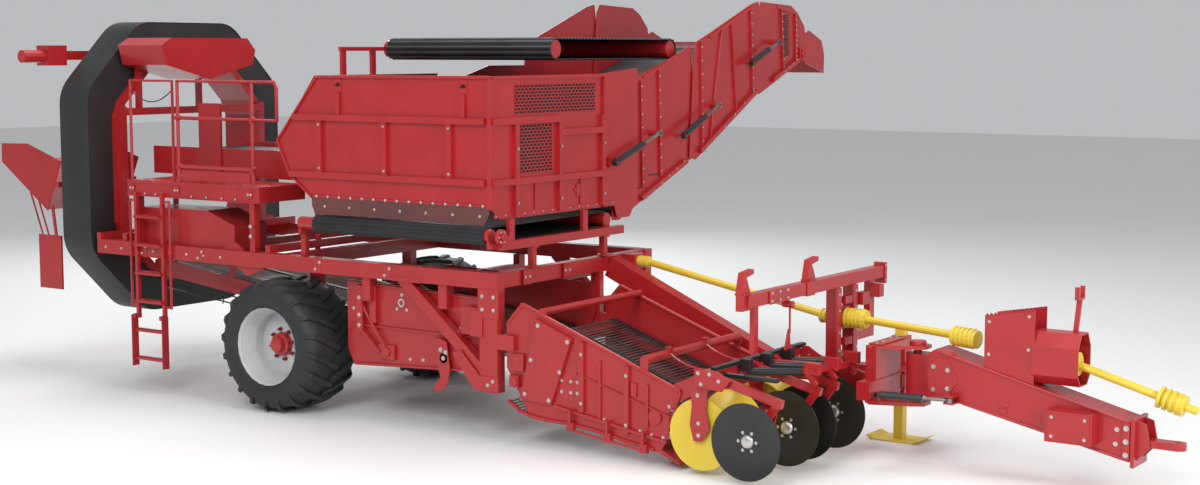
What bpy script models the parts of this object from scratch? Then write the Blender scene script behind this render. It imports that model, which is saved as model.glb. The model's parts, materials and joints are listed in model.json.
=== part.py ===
"""Trailed two-row potato harvester with a side-unloading bunker.

Design frame, metres: +X forwards to the drawbar, +Y to the machine's left, +Z up.
X = 0 is the wheel axle, Y = 0 the right tyre's outer face, Z = 0 the ground.
The whole model is parented to one datum, which puts the origin on the ground
at the middle of the machine's box.
"""
import math

import bmesh
import bpy
from mathutils import Matrix, Vector


# ------------------------------------------------------------------ driving dimensions
GAP = 0.0003            # between pieces that touch
RUN = 0.006             # between pieces that move past each other
SHEET = 0.008           # body sheets
PLATE = 0.012           # brackets and lugs

TYRE_RADIUS = 0.671
TYRE_WIDTH = 0.70
RIM_RADIUS = 0.372
OVERALL_WIDTH = 3.00    # over the tyres
DISC_SET = 0.06         # wheel disc's inner face, outwards from the tyre's middle

BEAM_RIGHT = 0.20       # outer face of the right side beam
BEAM_LEFT = 2.80        # outer face of the left side beam
BEAM_WIDTH = 0.12
BEAM_LOW, BEAM_HIGH = 1.43, 1.58
FRAME_REAR, FRAME_FRONT = -2.685, 2.77
POST_FOOT = 0.47        # foot of the front posts

CHANNEL_RIGHT, CHANNEL_LEFT = 0.30, 1.85
DIGGER_RIGHT, DIGGER_LEFT = 0.25, 1.85
DIGGER_PIVOT = (2.90, 0.95)         # X, Z
WEB_SHEET = 0.03
WEB_ROLLER = 0.09
MAIN_WEB = ((1.02, 1.02), (2.46, 0.80))     # X, Z of the webs' rollers, rear then front
REAR_WEB = ((-2.36, 1.23), (0.68, 0.88))
DIGGER_WEB = ((2.96, 0.90), (4.50, 0.38))

BUNKER_FRONT = 2.70     # inner face of the bunker's front wall
BUNKER_TOP = 3.37
BELT_REAR, BELT_FRONT = 0.52, 2.64  # ends of the bunker belt's rollers
BELT_ROLLER = 0.085
BELT_SHEET = 0.02
SECTION_ROLLER, SECTION_SHEET = 0.06, 0.015
BELT_TAIL = (0.235, 1.915)          # Y, Z of the bunker belt's tail roller

LIFT_PIVOT = (2.35, 1.98)           # Y, Z of the three elevator hinges
KNEE_PIVOT = (3.75, 2.57)
HEAD_PIVOT = (5.15, 3.24)
ELEVATOR_REAR = 0.45    # inner face of the elevator's rear walls

RING_FRONT = -2.75
RING_DEPTH = 0.45
RING_CENTRE = (1.60, 2.31)          # Y, Z
RING_HALF_WIDTH, RING_HALF_HEIGHT = 1.43, 1.61
RING_CHAMFER = 0.74
RING_BAND = 0.33

DECK_REAR, DECK_FRONT = -2.18, -0.23
DECK_INNER = 0.86
DECK_LOW, DECK_HIGH = 2.08, 2.24
RAIL_HIGH = 3.29
RAIL_RADIUS = 0.02
ENTRY = (-2.14, -1.50)   # posts of the entry frame

DISC_RADIUS = 0.33
DISC_AXLE = (5.45, 0.37)            # X, Z
DISC_PLACES = (0.12, 0.80, 1.12, 1.68)
ROLLER_RADIUS = 0.315
ROLLER_AXLE = (4.95, 0.355)         # X, Z
ROLLER_SPANS = ((0.20, 0.74), (1.18, 1.62))

STEER_PIVOT = (6.25, 1.70)          # X, Y
STEER_PIN, STEER_HOLE = 0.0355, 0.0364
DRAWBAR_HALF = 0.15
DRAWBAR_FRONT = 8.20
DRAWBAR_TOP = ((6.48, 1.05), (DRAWBAR_FRONT, 0.61))      # X, Z of its upper edge
STAND_PLACE = (5.72, 2.50)          # X, Y
STAND_LEG = 0.09

# name: colour, roughness, metallic
PAINTS = {
    "red": ((0.55, 0.022, 0.026, 1), 0.38, 0.0),
    "yellow": ((0.72, 0.53, 0.06, 1), 0.45, 0.0),
    "black": ((0.02, 0.02, 0.022, 1), 0.5, 0.0),
    "rubber": ((0.015, 0.015, 0.017, 1), 0.8, 0.0),
    "steel": ((0.42, 0.42, 0.43, 1), 0.35, 0.9),
    "rim_grey": ((0.52, 0.53, 0.54, 1), 0.4, 0.2),
}


# ------------------------------------------------------------------ helpers
for leftover in list(bpy.data.objects):
    bpy.data.objects.remove(leftover, do_unlink=True)

machine = bpy.data.collections.new("potato_harvester")
cutters = bpy.data.collections.new("construction_solids")
for made in (machine, cutters):
    bpy.context.scene.collection.children.link(made)
datum = bpy.data.objects.new("datum", None)
machine.objects.link(datum)


def paint(name, colour_name):
    colour, roughness, metallic = PAINTS[colour_name]
    material = bpy.data.materials.new(name)
    material.use_nodes = True
    shader = material.node_tree.nodes["Principled BSDF"]
    shader.inputs["Base Color"].default_value = colour
    shader.inputs["Roughness"].default_value = roughness
    shader.inputs["Metallic"].default_value = metallic
    return material


def box(x, y, z):
    """A block between three pairs of coordinates."""
    shape = bmesh.new()
    bmesh.ops.create_cube(shape, size=1.0)
    size = Matrix.Diagonal((x[1] - x[0], y[1] - y[0], z[1] - z[0], 1))
    place = Matrix.Translation(((x[0] + x[1]) / 2, (y[0] + y[1]) / 2, (z[0] + z[1]) / 2))
    bmesh.ops.transform(shape, matrix=place @ size, verts=shape.verts)
    return as_mesh(shape)


def as_mesh(shape):
    mesh = bpy.data.meshes.new("solid")
    shape.to_mesh(mesh)
    shape.free()
    return mesh


def along(start, end, up=(0, 0, 1)):
    """The frame whose +X runs from start to end, centred between them."""
    start, end = Vector(start), Vector(end)
    ahead = (end - start).normalized()
    side = Vector(up).cross(ahead).normalized()
    turn = Matrix((ahead, side, ahead.cross(side))).transposed().to_4x4()
    return Matrix.Translation((start + end) / 2) @ turn, (end - start).length


def bar(start, end, width, height, up=(0, 0, 1)):
    """A rectangular bar between two points; width is across, height along up."""
    place, length = along(start, end, up)
    shape = bmesh.new()
    bmesh.ops.create_cube(shape, size=1.0)
    bmesh.ops.transform(shape, matrix=place @ Matrix.Diagonal((length, width, height, 1)), verts=shape.verts)
    return as_mesh(shape)


def rod(start, end, radius, sides=12, tip=None):
    """A round bar, or a cone where the tip's radius differs."""
    up = (1, 0, 0) if abs((Vector(end) - Vector(start)).normalized().z) > 0.9 else (0, 0, 1)
    place, length = along(start, end, up)
    shape = bmesh.new()
    bmesh.ops.create_cone(shape, cap_ends=True, segments=sides, radius1=radius,
                          radius2=radius if tip is None else tip, depth=length)
    bmesh.ops.transform(shape, matrix=place @ Matrix.Rotation(math.pi / 2, 4, "Y"), verts=shape.verts)
    return as_mesh(shape)


def from_curve(curve, matrix):
    """The closed mesh of a curve, with its caps welded on."""
    holder = bpy.data.objects.new("outline", curve)
    bpy.context.scene.collection.objects.link(holder)
    holder.matrix_world = matrix
    bpy.context.view_layer.update()
    view = bpy.context.evaluated_depsgraph_get()
    mesh = bpy.data.meshes.new_from_object(holder.evaluated_get(view))
    mesh.transform(matrix)
    bpy.data.objects.remove(holder, do_unlink=True)
    shape = bmesh.new()
    shape.from_mesh(mesh)
    bmesh.ops.remove_doubles(shape, verts=shape.verts, dist=1e-5)
    bmesh.ops.recalc_face_normals(shape, faces=shape.faces)
    shape.to_mesh(mesh)
    shape.free()
    return mesh


PLANES = {      # axes of the outline and of its thickness
    "xz": Matrix(((1, 0, 0), (0, 0, -1), (0, 1, 0))).to_4x4(),     # thickness along Y
    "yz": Matrix(((0, 0, 1), (1, 0, 0), (0, 1, 0))).to_4x4(),      # thickness along X
    "xy": Matrix.Identity(4),                                      # thickness along Z
}
THICK_AXIS = {"xz": 1, "yz": 0, "xy": 2}


def plate(plane, low, high, *outlines):
    """A flat outline between two heights; further outlines are its holes."""
    curve = bpy.data.curves.new("outline", "CURVE")
    curve.dimensions = "2D"
    curve.fill_mode = "BOTH"
    curve.extrude = (high - low) / 2
    for points in outlines:
        spline = curve.splines.new("POLY")
        spline.points.add(len(points) - 1)
        for point, (u, v) in zip(spline.points, points):
            point.co = (u, v, 0, 1)
        spline.use_cyclic_u = True
    shift = [0, 0, 0]
    shift[THICK_AXIS[plane]] = (low + high) / 2
    return from_curve(curve, Matrix.Translation(shift) @ PLANES[plane])


def pipe(points, radius, resolution=1, closed=False):
    """A round tube along a few straight legs."""
    curve = bpy.data.curves.new("pipe", "CURVE")
    curve.dimensions = "3D"
    curve.bevel_depth = radius
    curve.bevel_resolution = resolution
    curve.use_fill_caps = not closed
    spline = curve.splines.new("POLY")
    spline.points.add(len(points) - 1)
    for point, place in zip(spline.points, points):
        point.co = (*place, 1)
    spline.use_cyclic_u = closed
    return from_curve(curve, Matrix.Identity(4))


def arc(centre, radius, start, end, steps):
    """Points on an arc, angles in degrees."""
    turns = [math.radians(start + (end - start) * step / steps) for step in range(steps + 1)]
    return [(centre[0] + radius * math.cos(a), centre[1] + radius * math.sin(a)) for a in turns]


def stadium(first, last, radius, steps=6):
    """The outline of a belt round two rollers of one radius."""
    lean = math.degrees(math.atan2(last[1] - first[1], last[0] - first[0]))
    return arc(last, radius, lean - 90, lean + 90, steps) + arc(first, radius, lean + 90, lean + 270, steps)


def drums(plane, low, high, first, last, radius, thickness=WEB_SHEET):
    """The two rollers inside a belt."""
    core = radius - thickness - GAP
    lean = math.degrees(math.atan2(last[1] - first[1], last[0] - first[0]))
    return [plate(plane, low, high, arc(centre, core, lean - 90, lean + 240, 11)) for centre in (first, last)]


def belt(plane, low, high, first, last, radius, thickness=WEB_SHEET):
    """A closed conveyor loop round two rollers, open in the middle."""
    return plate(plane, low, high, stadium(first, last, radius), stadium(first, last, radius - thickness))


def strip(points, thickness):
    """The outline of a sheet folded along a line, thickness to its left."""
    lines = [Vector(point) for point in points]
    offset = []
    for place, point in enumerate(lines):
        sides = []
        for a, b in zip(lines[max(place - 1, 0):place + 1], lines[max(place, 1):place + 2]):
            run = (b - a).normalized()
            sides.append(Vector((-run.y, run.x)))
        normal = sum(sides, Vector((0, 0))).normalized()
        offset.append(point + normal * thickness / max(normal.dot(sides[0]), 0.3))
    return [tuple(p) for p in lines] + [tuple(p) for p in reversed(offset)]


def turned(profile, centre, steps=48):
    """A closed profile of (radius, along) turned about an axis along +Y."""
    mesh = bpy.data.meshes.new("profile")
    shape = bmesh.new()
    points = [shape.verts.new((radius, 0, place)) for radius, place in profile]
    for one, other in zip(points, points[1:] + points[:1]):
        shape.edges.new((one, other))
    shape.to_mesh(mesh)
    shape.free()
    holder = bpy.data.objects.new("profile", mesh)
    bpy.context.scene.collection.objects.link(holder)
    screw = holder.modifiers.new("turn", "SCREW")
    screw.steps = screw.render_steps = steps
    screw.use_merge_vertices = True
    screw.merge_threshold = 1e-5
    bpy.context.view_layer.update()
    view = bpy.context.evaluated_depsgraph_get()
    made = bpy.data.meshes.new_from_object(holder.evaluated_get(view))
    bpy.data.objects.remove(holder, do_unlink=True)
    turn = Matrix.Translation(centre) @ Matrix.Rotation(-math.pi / 2, 4, "X")
    made.transform(turn)
    shape = bmesh.new()
    shape.from_mesh(made)
    bmesh.ops.remove_doubles(shape, verts=shape.verts, dist=1e-5)
    bmesh.ops.recalc_face_normals(shape, faces=shape.faces)
    shape.to_mesh(made)
    shape.free()
    return made


def node(name, colour, solids, cuts=(), pivot=(0, 0, 0)):
    """One named piece: the first solid with the others joined on and the cuts taken out."""
    def place(label, mesh, home):
        mesh.transform(Matrix.Translation(-Vector(pivot)))
        made = bpy.data.objects.new(label, mesh)
        home.objects.link(made)
        made.location = pivot
        made.parent = datum
        return made

    piece = place(name, solids[0], machine)
    steps = [("UNION", mesh) for mesh in solids[1:]] + [("DIFFERENCE", mesh) for mesh in cuts]
    for index, (operation, mesh) in enumerate(steps):
        tool = place(f"{name}_{operation.lower()}_{index}", mesh, cutters)
        tool.hide_render = True
        tool.display_type = "WIRE"
        change = piece.modifiers.new(f"{operation.lower()}_{index}", "BOOLEAN")
        change.operation = operation
        change.solver = "EXACT"
        change.object = tool
    piece.data.materials.append(paint(f"{name}_{colour}", colour))
    piece.data.shade_smooth()
    piece.data.set_sharp_from_angle(angle=math.radians(35))
    return piece


# ------------------------------------------------------------------ chassis
BEAM_SPANS = ((BEAM_RIGHT, BEAM_RIGHT + BEAM_WIDTH), (BEAM_LEFT - BEAM_WIDTH, BEAM_LEFT))
CROSS_PLACES = (FRAME_REAR + 0.05, -1.30, 0.0, FRAME_FRONT - 0.07)
GEARBOX_FACE, GEARBOX_Y = 2.90, 2.37
BOOM_SIDE = (2.00, 2.16)
BOOM_HALF_HEIGHT = 0.098
BOOM_LINE = ((2.70, 1.50), (4.62, 0.66), (5.60, 0.66))


def make_main_frame():
    inset = 0.004
    solids = [box((FRAME_REAR, FRAME_FRONT), BEAM_SPANS[0], (BEAM_LOW, BEAM_HIGH))]
    solids.append(box((FRAME_REAR, FRAME_FRONT), BEAM_SPANS[1], (BEAM_LOW, BEAM_HIGH)))
    for place in CROSS_PLACES:
        solids.append(box((place - 0.05, place + 0.05), (BEAM_RIGHT + 0.05, BEAM_LEFT - 0.05),
                          (BEAM_LOW + inset, BEAM_HIGH - inset)))
    for low, high in BEAM_SPANS:
        middle = (low + high) / 2
        solids.append(box((2.56, FRAME_FRONT - inset), (low + inset, high - inset),
                          (POST_FOOT, BEAM_LOW + 0.05)))
        solids.append(bar((1.60, middle, BEAM_LOW + 0.03), (2.64, middle, 0.60), 0.09, 0.11))
        gusset = [(-0.95, BEAM_HIGH - 0.05), (-0.62, BEAM_HIGH + 0.08), (-0.42, BEAM_HIGH - 0.05),
                  (-0.22, BEAM_LOW - 0.02), (-0.45, BEAM_LOW - 0.10), (-0.70, BEAM_LOW + 0.02)]
        solids.append(plate("xz", middle - 0.02, middle + 0.02, gusset))
    # lugs of the digger's hinge: one on the right post, one on a hanger inside the boom
    x, z = DIGGER_PIVOT
    solids.append(box((FRAME_FRONT - 0.02, x + 0.05), (BEAM_RIGHT + 0.006, DIGGER_RIGHT - GAP),
                      (z - 0.07, z + 0.07)))
    hanger = DIGGER_LEFT + SHEET + GAP
    solids.append(box((2.65, FRAME_FRONT - 0.01), (hanger + 0.012, hanger + 0.078),
                      (z - 0.10, BEAM_LOW + 0.02)))
    solids.append(box((FRAME_FRONT - 0.02, x + 0.05), (hanger, hanger + 0.075), (z - 0.07, z + 0.07)))
    # gearbox of the rear drive shaft
    solids.append(box((FRAME_FRONT - 0.03, GEARBOX_FACE), (GEARBOX_Y - 0.09, GEARBOX_Y + 0.09), (1.42, 1.57)))
    node("main_frame", "red", solids)


def make_axle():
    """Axle beam with its uprights to the frame and the stub axles."""
    upright = 0.10
    inner = TYRE_WIDTH + 0.03
    solids = [box((-0.07, 0.07), (inner, OVERALL_WIDTH - inner), (TYRE_RADIUS - 0.07, TYRE_RADIUS + 0.07))]
    for low in (inner + 0.001, OVERALL_WIDTH - inner - upright - 0.001):
        solids.append(box((-0.06, 0.06), (low, low + upright), (TYRE_RADIUS, BEAM_LOW + 0.004 - GAP)))
    for start, side in ((inner + 0.05, 1), (OVERALL_WIDTH - inner - 0.05, -1)):
        centre = TYRE_WIDTH / 2 if side > 0 else OVERALL_WIDTH - TYRE_WIDTH / 2
        face = centre - side * (DISC_SET - GAP)
        solids.append(rod((0, start, TYRE_RADIUS), (0, face, TYRE_RADIUS), 0.06, 20))
        solids.append(rod((0, face, TYRE_RADIUS), (0, face + side * 0.04, TYRE_RADIUS), 0.13, 20))
    return node("axle", "red", solids)


WHEEL_STEPS = 24


def make_wheel(side, centre_y, outer):
    """Tyre and rim of one wheel; outer is -1 or +1 along Y."""
    half = TYRE_WIDTH / 2
    wall = RIM_RADIUS + 0.006
    crown = [(TYRE_RADIUS, -half * 0.70), (TYRE_RADIUS - 0.10, -half), (wall + 0.10, -half),
             (wall, -half * 0.84), (wall, -half * 0.66), (TYRE_RADIUS - 0.08, -half * 0.72)]
    profile = crown + [(radius, -place) for radius, place in reversed(crown)]
    pivot = (0, centre_y, TYRE_RADIUS)
    node(f"tyre_{side}", "rubber", [turned(profile, pivot, WHEEL_STEPS)], pivot=pivot)
    lip, bed, hole = wall - GAP, RIM_RADIUS - 0.03, 0.066
    seat = half * 0.40
    face = DISC_SET + 0.015
    rim = [(lip + 0.014, -half * 0.94), (lip + 0.014, -half * 0.89), (lip, -half * 0.86), (lip, -half * 0.62),
           (bed, -seat), (bed, seat), (lip, half * 0.62), (lip, half * 0.86), (lip + 0.014, half * 0.89),
           (lip + 0.014, half * 0.94), (bed - 0.012, seat), (bed - 0.012, face - 0.04), (0.20, face),
           (hole, face), (hole, DISC_SET), (0.20, DISC_SET), (bed - 0.012, DISC_SET - 0.045),
           (bed - 0.012, -seat)]
    rim = [(radius, -outer * -place) for radius, place in rim]
    if outer > 0:
        rim = rim[::-1]
    node(f"rim_{side}", "rim_grey", [turned(rim, pivot, WHEEL_STEPS)], pivot=pivot)


def make_boom():
    """The boom from the frame's front down past the digger, with the steering head."""
    low, high = BOOM_SIDE
    middle = (low + high) / 2
    a, b, c = BOOM_LINE
    start = FRAME_FRONT - 0.02 + GAP        # front face of the cross member
    first = (start + 0.02, a[1] - 0.03)
    solids = [bar((first[0], middle, first[1]), (b[0], middle, b[1]), high - low, 0.20),
              bar((b[0] - 0.06, middle, b[1]), (c[0] + 0.10, middle, c[1]), high - low - 0.006,
                  2 * BOOM_HALF_HEIGHT),
              plate("yz", start, start + 0.03,
                    [(low - 0.06, BEAM_LOW), (high + 0.06, BEAM_LOW),
                     (high + 0.06, BEAM_HIGH - 0.005), (low - 0.06, BEAM_HIGH - 0.005)])]
    # cross frame in front, from the digger's right side to the stand
    solids.append(box((5.86, 5.98), (1.30, STAND_PLACE[1] + 0.08), (0.58, 0.74)))
    solids.append(bar((c[0] + 0.02, middle, c[1]), (5.92, middle, c[1]), high - low - 0.012, 0.15))
    # steering head: two horizontal plates carried on the cross frame
    x, y = STEER_PIVOT
    head = [(5.90, y - 0.26), (x, y - 0.13), (x + 0.10, y - 0.07), (x + 0.10, y + 0.07), (x, y + 0.13),
            (5.90, y + 0.26)]
    for low_z in (0.52, 1.02):
        solids.append(plate("xy", low_z, low_z + 0.03, head))
    solids.append(box((5.87, 5.97), (y - 0.25, y + 0.25), (0.53, 1.04)))
    # lug for the steering cylinder
    px, py, pz = STEER_BARREL_PIN
    solids.append(box((5.95, px + 0.04), (py - 0.04, py + 0.06), (pz - 0.075, pz - 0.055)))
    solids.append(box((5.945, 5.985), (py - 0.039, py + 0.059), (pz - 0.073, pz)))
    solids.append(rod((px, py, pz - 0.06), (px, py, pz + 0.03), PIN_RADIUS))
    # stand sleeve
    sx, sy = STAND_PLACE
    outer = STAND_LEG / 2 + 0.025
    solids.append(box((sx - outer, sx + outer), (sy - outer, sy + outer), (0.42, 0.98)))
    solids.append(box((sx + outer - 0.01, 5.90), (sy - 0.04, sy + 0.04), (0.60, 0.72)))
    solids.append(rod((x, y, 0.53), (x, y, 1.04), STEER_PIN, 16))
    clear = STAND_LEG / 2 + 0.0008
    cuts = [box((sx - clear, sx + clear), (sy - clear, sy + clear), (0.3, 1.2))]
    node("front_boom", "red", solids, cuts)


def make_stand():
    x, y = STAND_PLACE
    half = STAND_LEG / 2
    foot = [(x - 0.20, 0.0), (x + 0.20, 0.0), (x + 0.27, 0.035), (x + 0.262, 0.043), (x + 0.195, 0.012),
            (x - 0.195, 0.012), (x - 0.262, 0.043), (x - 0.27, 0.035)]
    leg = box((x - half, x + half), (y - half, y + half), (0.008, 1.05))
    node("parking_stand", "yellow", [leg, plate("xz", y - 0.16, y + 0.16, foot)], pivot=(x, y, 0))


# ------------------------------------------------------------------ channels and webs
def make_intake_channel():
    """The fixed channel behind the digger: two sides, two cross tubes, two feet on the frame."""
    side = [(0.82, 1.38), (2.72, 1.32), (2.72, 1.02), (2.52, 0.62), (0.90, 0.54), (0.82, 0.70)]
    solids = [plate("xz", CHANNEL_RIGHT + 0.03, CHANNEL_RIGHT + 0.03 + SHEET, side),
              plate("xz", CHANNEL_LEFT, CHANNEL_LEFT + SHEET, side)]
    solids += drums("xz", CHANNEL_RIGHT + 0.031, CHANNEL_LEFT + SHEET - 0.001, *MAIN_WEB, WEB_ROLLER)
    solids.append(rod((1.30, CHANNEL_RIGHT + 0.031, 1.33), (1.30, CHANNEL_LEFT + SHEET - 0.001, 1.33), 0.03))
    for x in (1.15, 2.10):
        for low in (CHANNEL_RIGHT + 0.031, CHANNEL_LEFT + 0.001):
            top = BEAM_LOW - GAP if low < 1 else BEAM_HIGH - 0.02
            if low < 1:
                solids.append(box((x - 0.05, x + 0.05), (low - 0.10, low + SHEET - 0.002), (1.20, top)))
            else:
                solids.append(box((x - 0.04, x + 0.04), (low, BEAM_LEFT - BEAM_WIDTH - GAP), (1.27, 1.33)))
                solids.append(box((x - 0.04, x + 0.04),
                                  (BEAM_LEFT - BEAM_WIDTH - 0.05, BEAM_LEFT - BEAM_WIDTH + 0.05),
                                  (1.272, BEAM_LOW - GAP)))
    node("intake_channel", "red", solids)


def make_webs():
    """The rod webs, as closed loops across the channels."""
    inner = 0.02
    node("main_web", "steel", [belt("xz", CHANNEL_RIGHT + 0.03 + SHEET + inner, CHANNEL_LEFT - inner,
                                    *MAIN_WEB, WEB_ROLLER)])
    low, high = TYRE_WIDTH + 0.16, OVERALL_WIDTH - TYRE_WIDTH - 0.16
    node("rear_web", "steel", [belt("xz", low, high, *REAR_WEB, WEB_ROLLER)])


def make_web_frame():
    """Side rails that carry the rear web between the wheels."""
    solids = []
    low, high = TYRE_WIDTH + 0.145, OVERALL_WIDTH - TYRE_WIDTH - 0.145
    rail = [(-2.50, 1.16), (0.66, 0.80), (0.75, 0.80), (0.75, 0.92), (0.68, 0.96), (-2.44, 1.33),
            (-2.50, 1.30)]
    for y in (low - SHEET, high):
        solids.append(plate("xz", y, y + SHEET, rail))
    solids += drums("xz", low - SHEET + 0.001, high + SHEET - 0.001, *REAR_WEB, WEB_ROLLER)
    for y in (low - SHEET, high):
        solids.append(box((-1.34, -1.26), (y + 0.001, y + SHEET - 0.001), (1.15, BEAM_LOW + 0.004 - GAP)))
    for reach in ((low - SHEET - 0.12, low - 0.001), (high + 0.001, high + SHEET + 0.12)):
        solids.append(box((0.075, 0.13), reach, (0.98, 1.01)))
    node("rear_web_frame", "red", solids)


# ------------------------------------------------------------------ digger
PIN_DIGGER = (DIGGER_PIVOT[0], 0, DIGGER_PIVOT[1])


def make_digger_channel():
    """The lifting intake channel with its cross tubes, hinged at its rear on the front posts."""
    side = [(2.84, 1.12), (3.03, 1.31), (4.71, 0.69), (4.68, 0.60), (4.60, 0.50), (4.59, 0.26), (4.50, 0.13),
            (3.50, 0.28), (3.10, 0.30), (2.84, 0.72)]
    solids = [plate("xz", DIGGER_RIGHT, DIGGER_RIGHT + SHEET, side),
              plate("xz", DIGGER_LEFT, DIGGER_LEFT + SHEET, side)]
    for x, z, radius in ((3.24, 1.26, 0.035), (4.34, 0.93, 0.04)):
        for y in (DIGGER_RIGHT, DIGGER_LEFT):
            solids.append(box((x - 0.04, x + 0.04), (y + 0.001, y + SHEET - 0.001), (z - 0.22, z + 0.02)))
        solids.append(rod((x, DIGGER_RIGHT + 0.001, z), (x, DIGGER_LEFT + SHEET - 0.001, z), radius))
    solids += drums("xz", DIGGER_RIGHT + 0.001, DIGGER_LEFT + SHEET - 0.001, *DIGGER_WEB, WEB_ROLLER)
    cover = [(3.19, 1.20), (3.59, 1.05), (3.36, 0.42), (3.01, 0.45)]
    solids.append(plate("xz", DIGGER_RIGHT - 0.03, DIGGER_RIGHT + 0.002, cover))
    for x, low, high in ((3.69, 0.40, 1.03), (4.17, 0.26, 0.86)):
        solids.append(box((x - 0.025, x + 0.025), (DIGGER_RIGHT - 0.03, DIGGER_RIGHT + 0.002), (low, high)))
    blade = [(4.42, 0.16), (4.70, 0.050), (4.71, 0.060), (4.55, 0.15), (4.42, 0.19)]
    solids.append(plate("xz", DIGGER_RIGHT + 0.001, DIGGER_LEFT + SHEET - 0.001, blade))
    node("digger_channel", "red", solids, pivot=PIN_DIGGER)


def make_digger_web():
    inner = 0.02
    loop = belt("xz", DIGGER_RIGHT + SHEET + inner, DIGGER_LEFT - inner, *DIGGER_WEB, WEB_ROLLER)
    node("digger_web", "steel", [loop], pivot=PIN_DIGGER)


def make_toolbar():
    """Cross beam over the shares, with the side arms that carry it on the channel."""
    solids = [box((4.96, 5.08), (0.16, 1.84), (0.80, 0.91))]
    for y in (DIGGER_RIGHT + SHEET + GAP, DIGGER_LEFT - PLATE - GAP):
        arm = [(4.54, 0.62), (4.70, 0.60), (5.07, 0.81), (5.06, 0.90), (4.97, 0.90), (4.58, 0.72)]
        solids.append(plate("xz", y, y + PLATE, arm))
    # disc arms run forwards and down from the beam
    x, z = DISC_AXLE
    for y in DISC_PLACES:
        side = y + 0.045
        solids.append(box((5.02, 5.16), (side, side + 0.05), (0.81, 0.90)))
        solids.append(bar((5.10, side + 0.025, 0.86), (5.74, side + 0.025, 0.70), 0.05, 0.07))
        solids.append(bar((5.71, side + 0.025, 0.72), (x, side + 0.025, z), 0.046, 0.06, (1, 0, 0)))
        solids.append(rod((x, y + 0.004 + GAP, z), (x, side + 0.04, z), 0.035))
    # roller arms drop from the beam on both sides of each roller
    x, z = ROLLER_AXLE
    for low, high in ROLLER_SPANS:
        middle = (low + high) / 2
        for y in (low - RUN - 0.025, high + RUN):
            solids.append(box((x - 0.035, x + 0.035), (y, y + 0.025), (z - 0.03, 0.84)))
            solids.append(box((x - 0.03, x + 0.09), (y + 0.001, y + 0.024), (0.805, 0.905)))
        solids.append(rod((x, low - RUN - 0.02, z), (x, high + RUN + 0.02, z), 0.0293))
    return solids


def make_digger_tools():
    node("toolbar", "red", make_toolbar(), pivot=PIN_DIGGER)


def make_discs():
    x, z = DISC_AXLE
    for number, y in enumerate(DISC_PLACES, 1):
        dish = [(0.030, -0.004), (0.12, -0.004), (DISC_RADIUS, -0.035), (DISC_RADIUS, -0.030),
                (0.12, 0.004), (0.030, 0.004)]
        node(f"coulter_disc_{number}", "black", [turned(dish, (x, y, z), 20)], pivot=(x, y, z))


def make_rollers():
    x, z = ROLLER_AXLE
    for side, (low, high) in zip(("right", "left"), ROLLER_SPANS):
        half = (high - low) / 2
        waist = 0.20
        shell = [(0.03, -half), (ROLLER_RADIUS, -half), (ROLLER_RADIUS, -half + 0.02), (waist, 0),
                 (ROLLER_RADIUS, half - 0.02), (ROLLER_RADIUS, half), (0.03, half), (0.03, half - 0.008),
                 (ROLLER_RADIUS - 0.02, half - 0.008), (waist - 0.012, 0),
                 (ROLLER_RADIUS - 0.02, -half + 0.008), (0.03, -half + 0.008)]
        pivot = (x, (low + high) / 2, z)
        node(f"ridge_roller_{side}", "yellow", [turned(shell, pivot, 18)], pivot=pivot)


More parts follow.
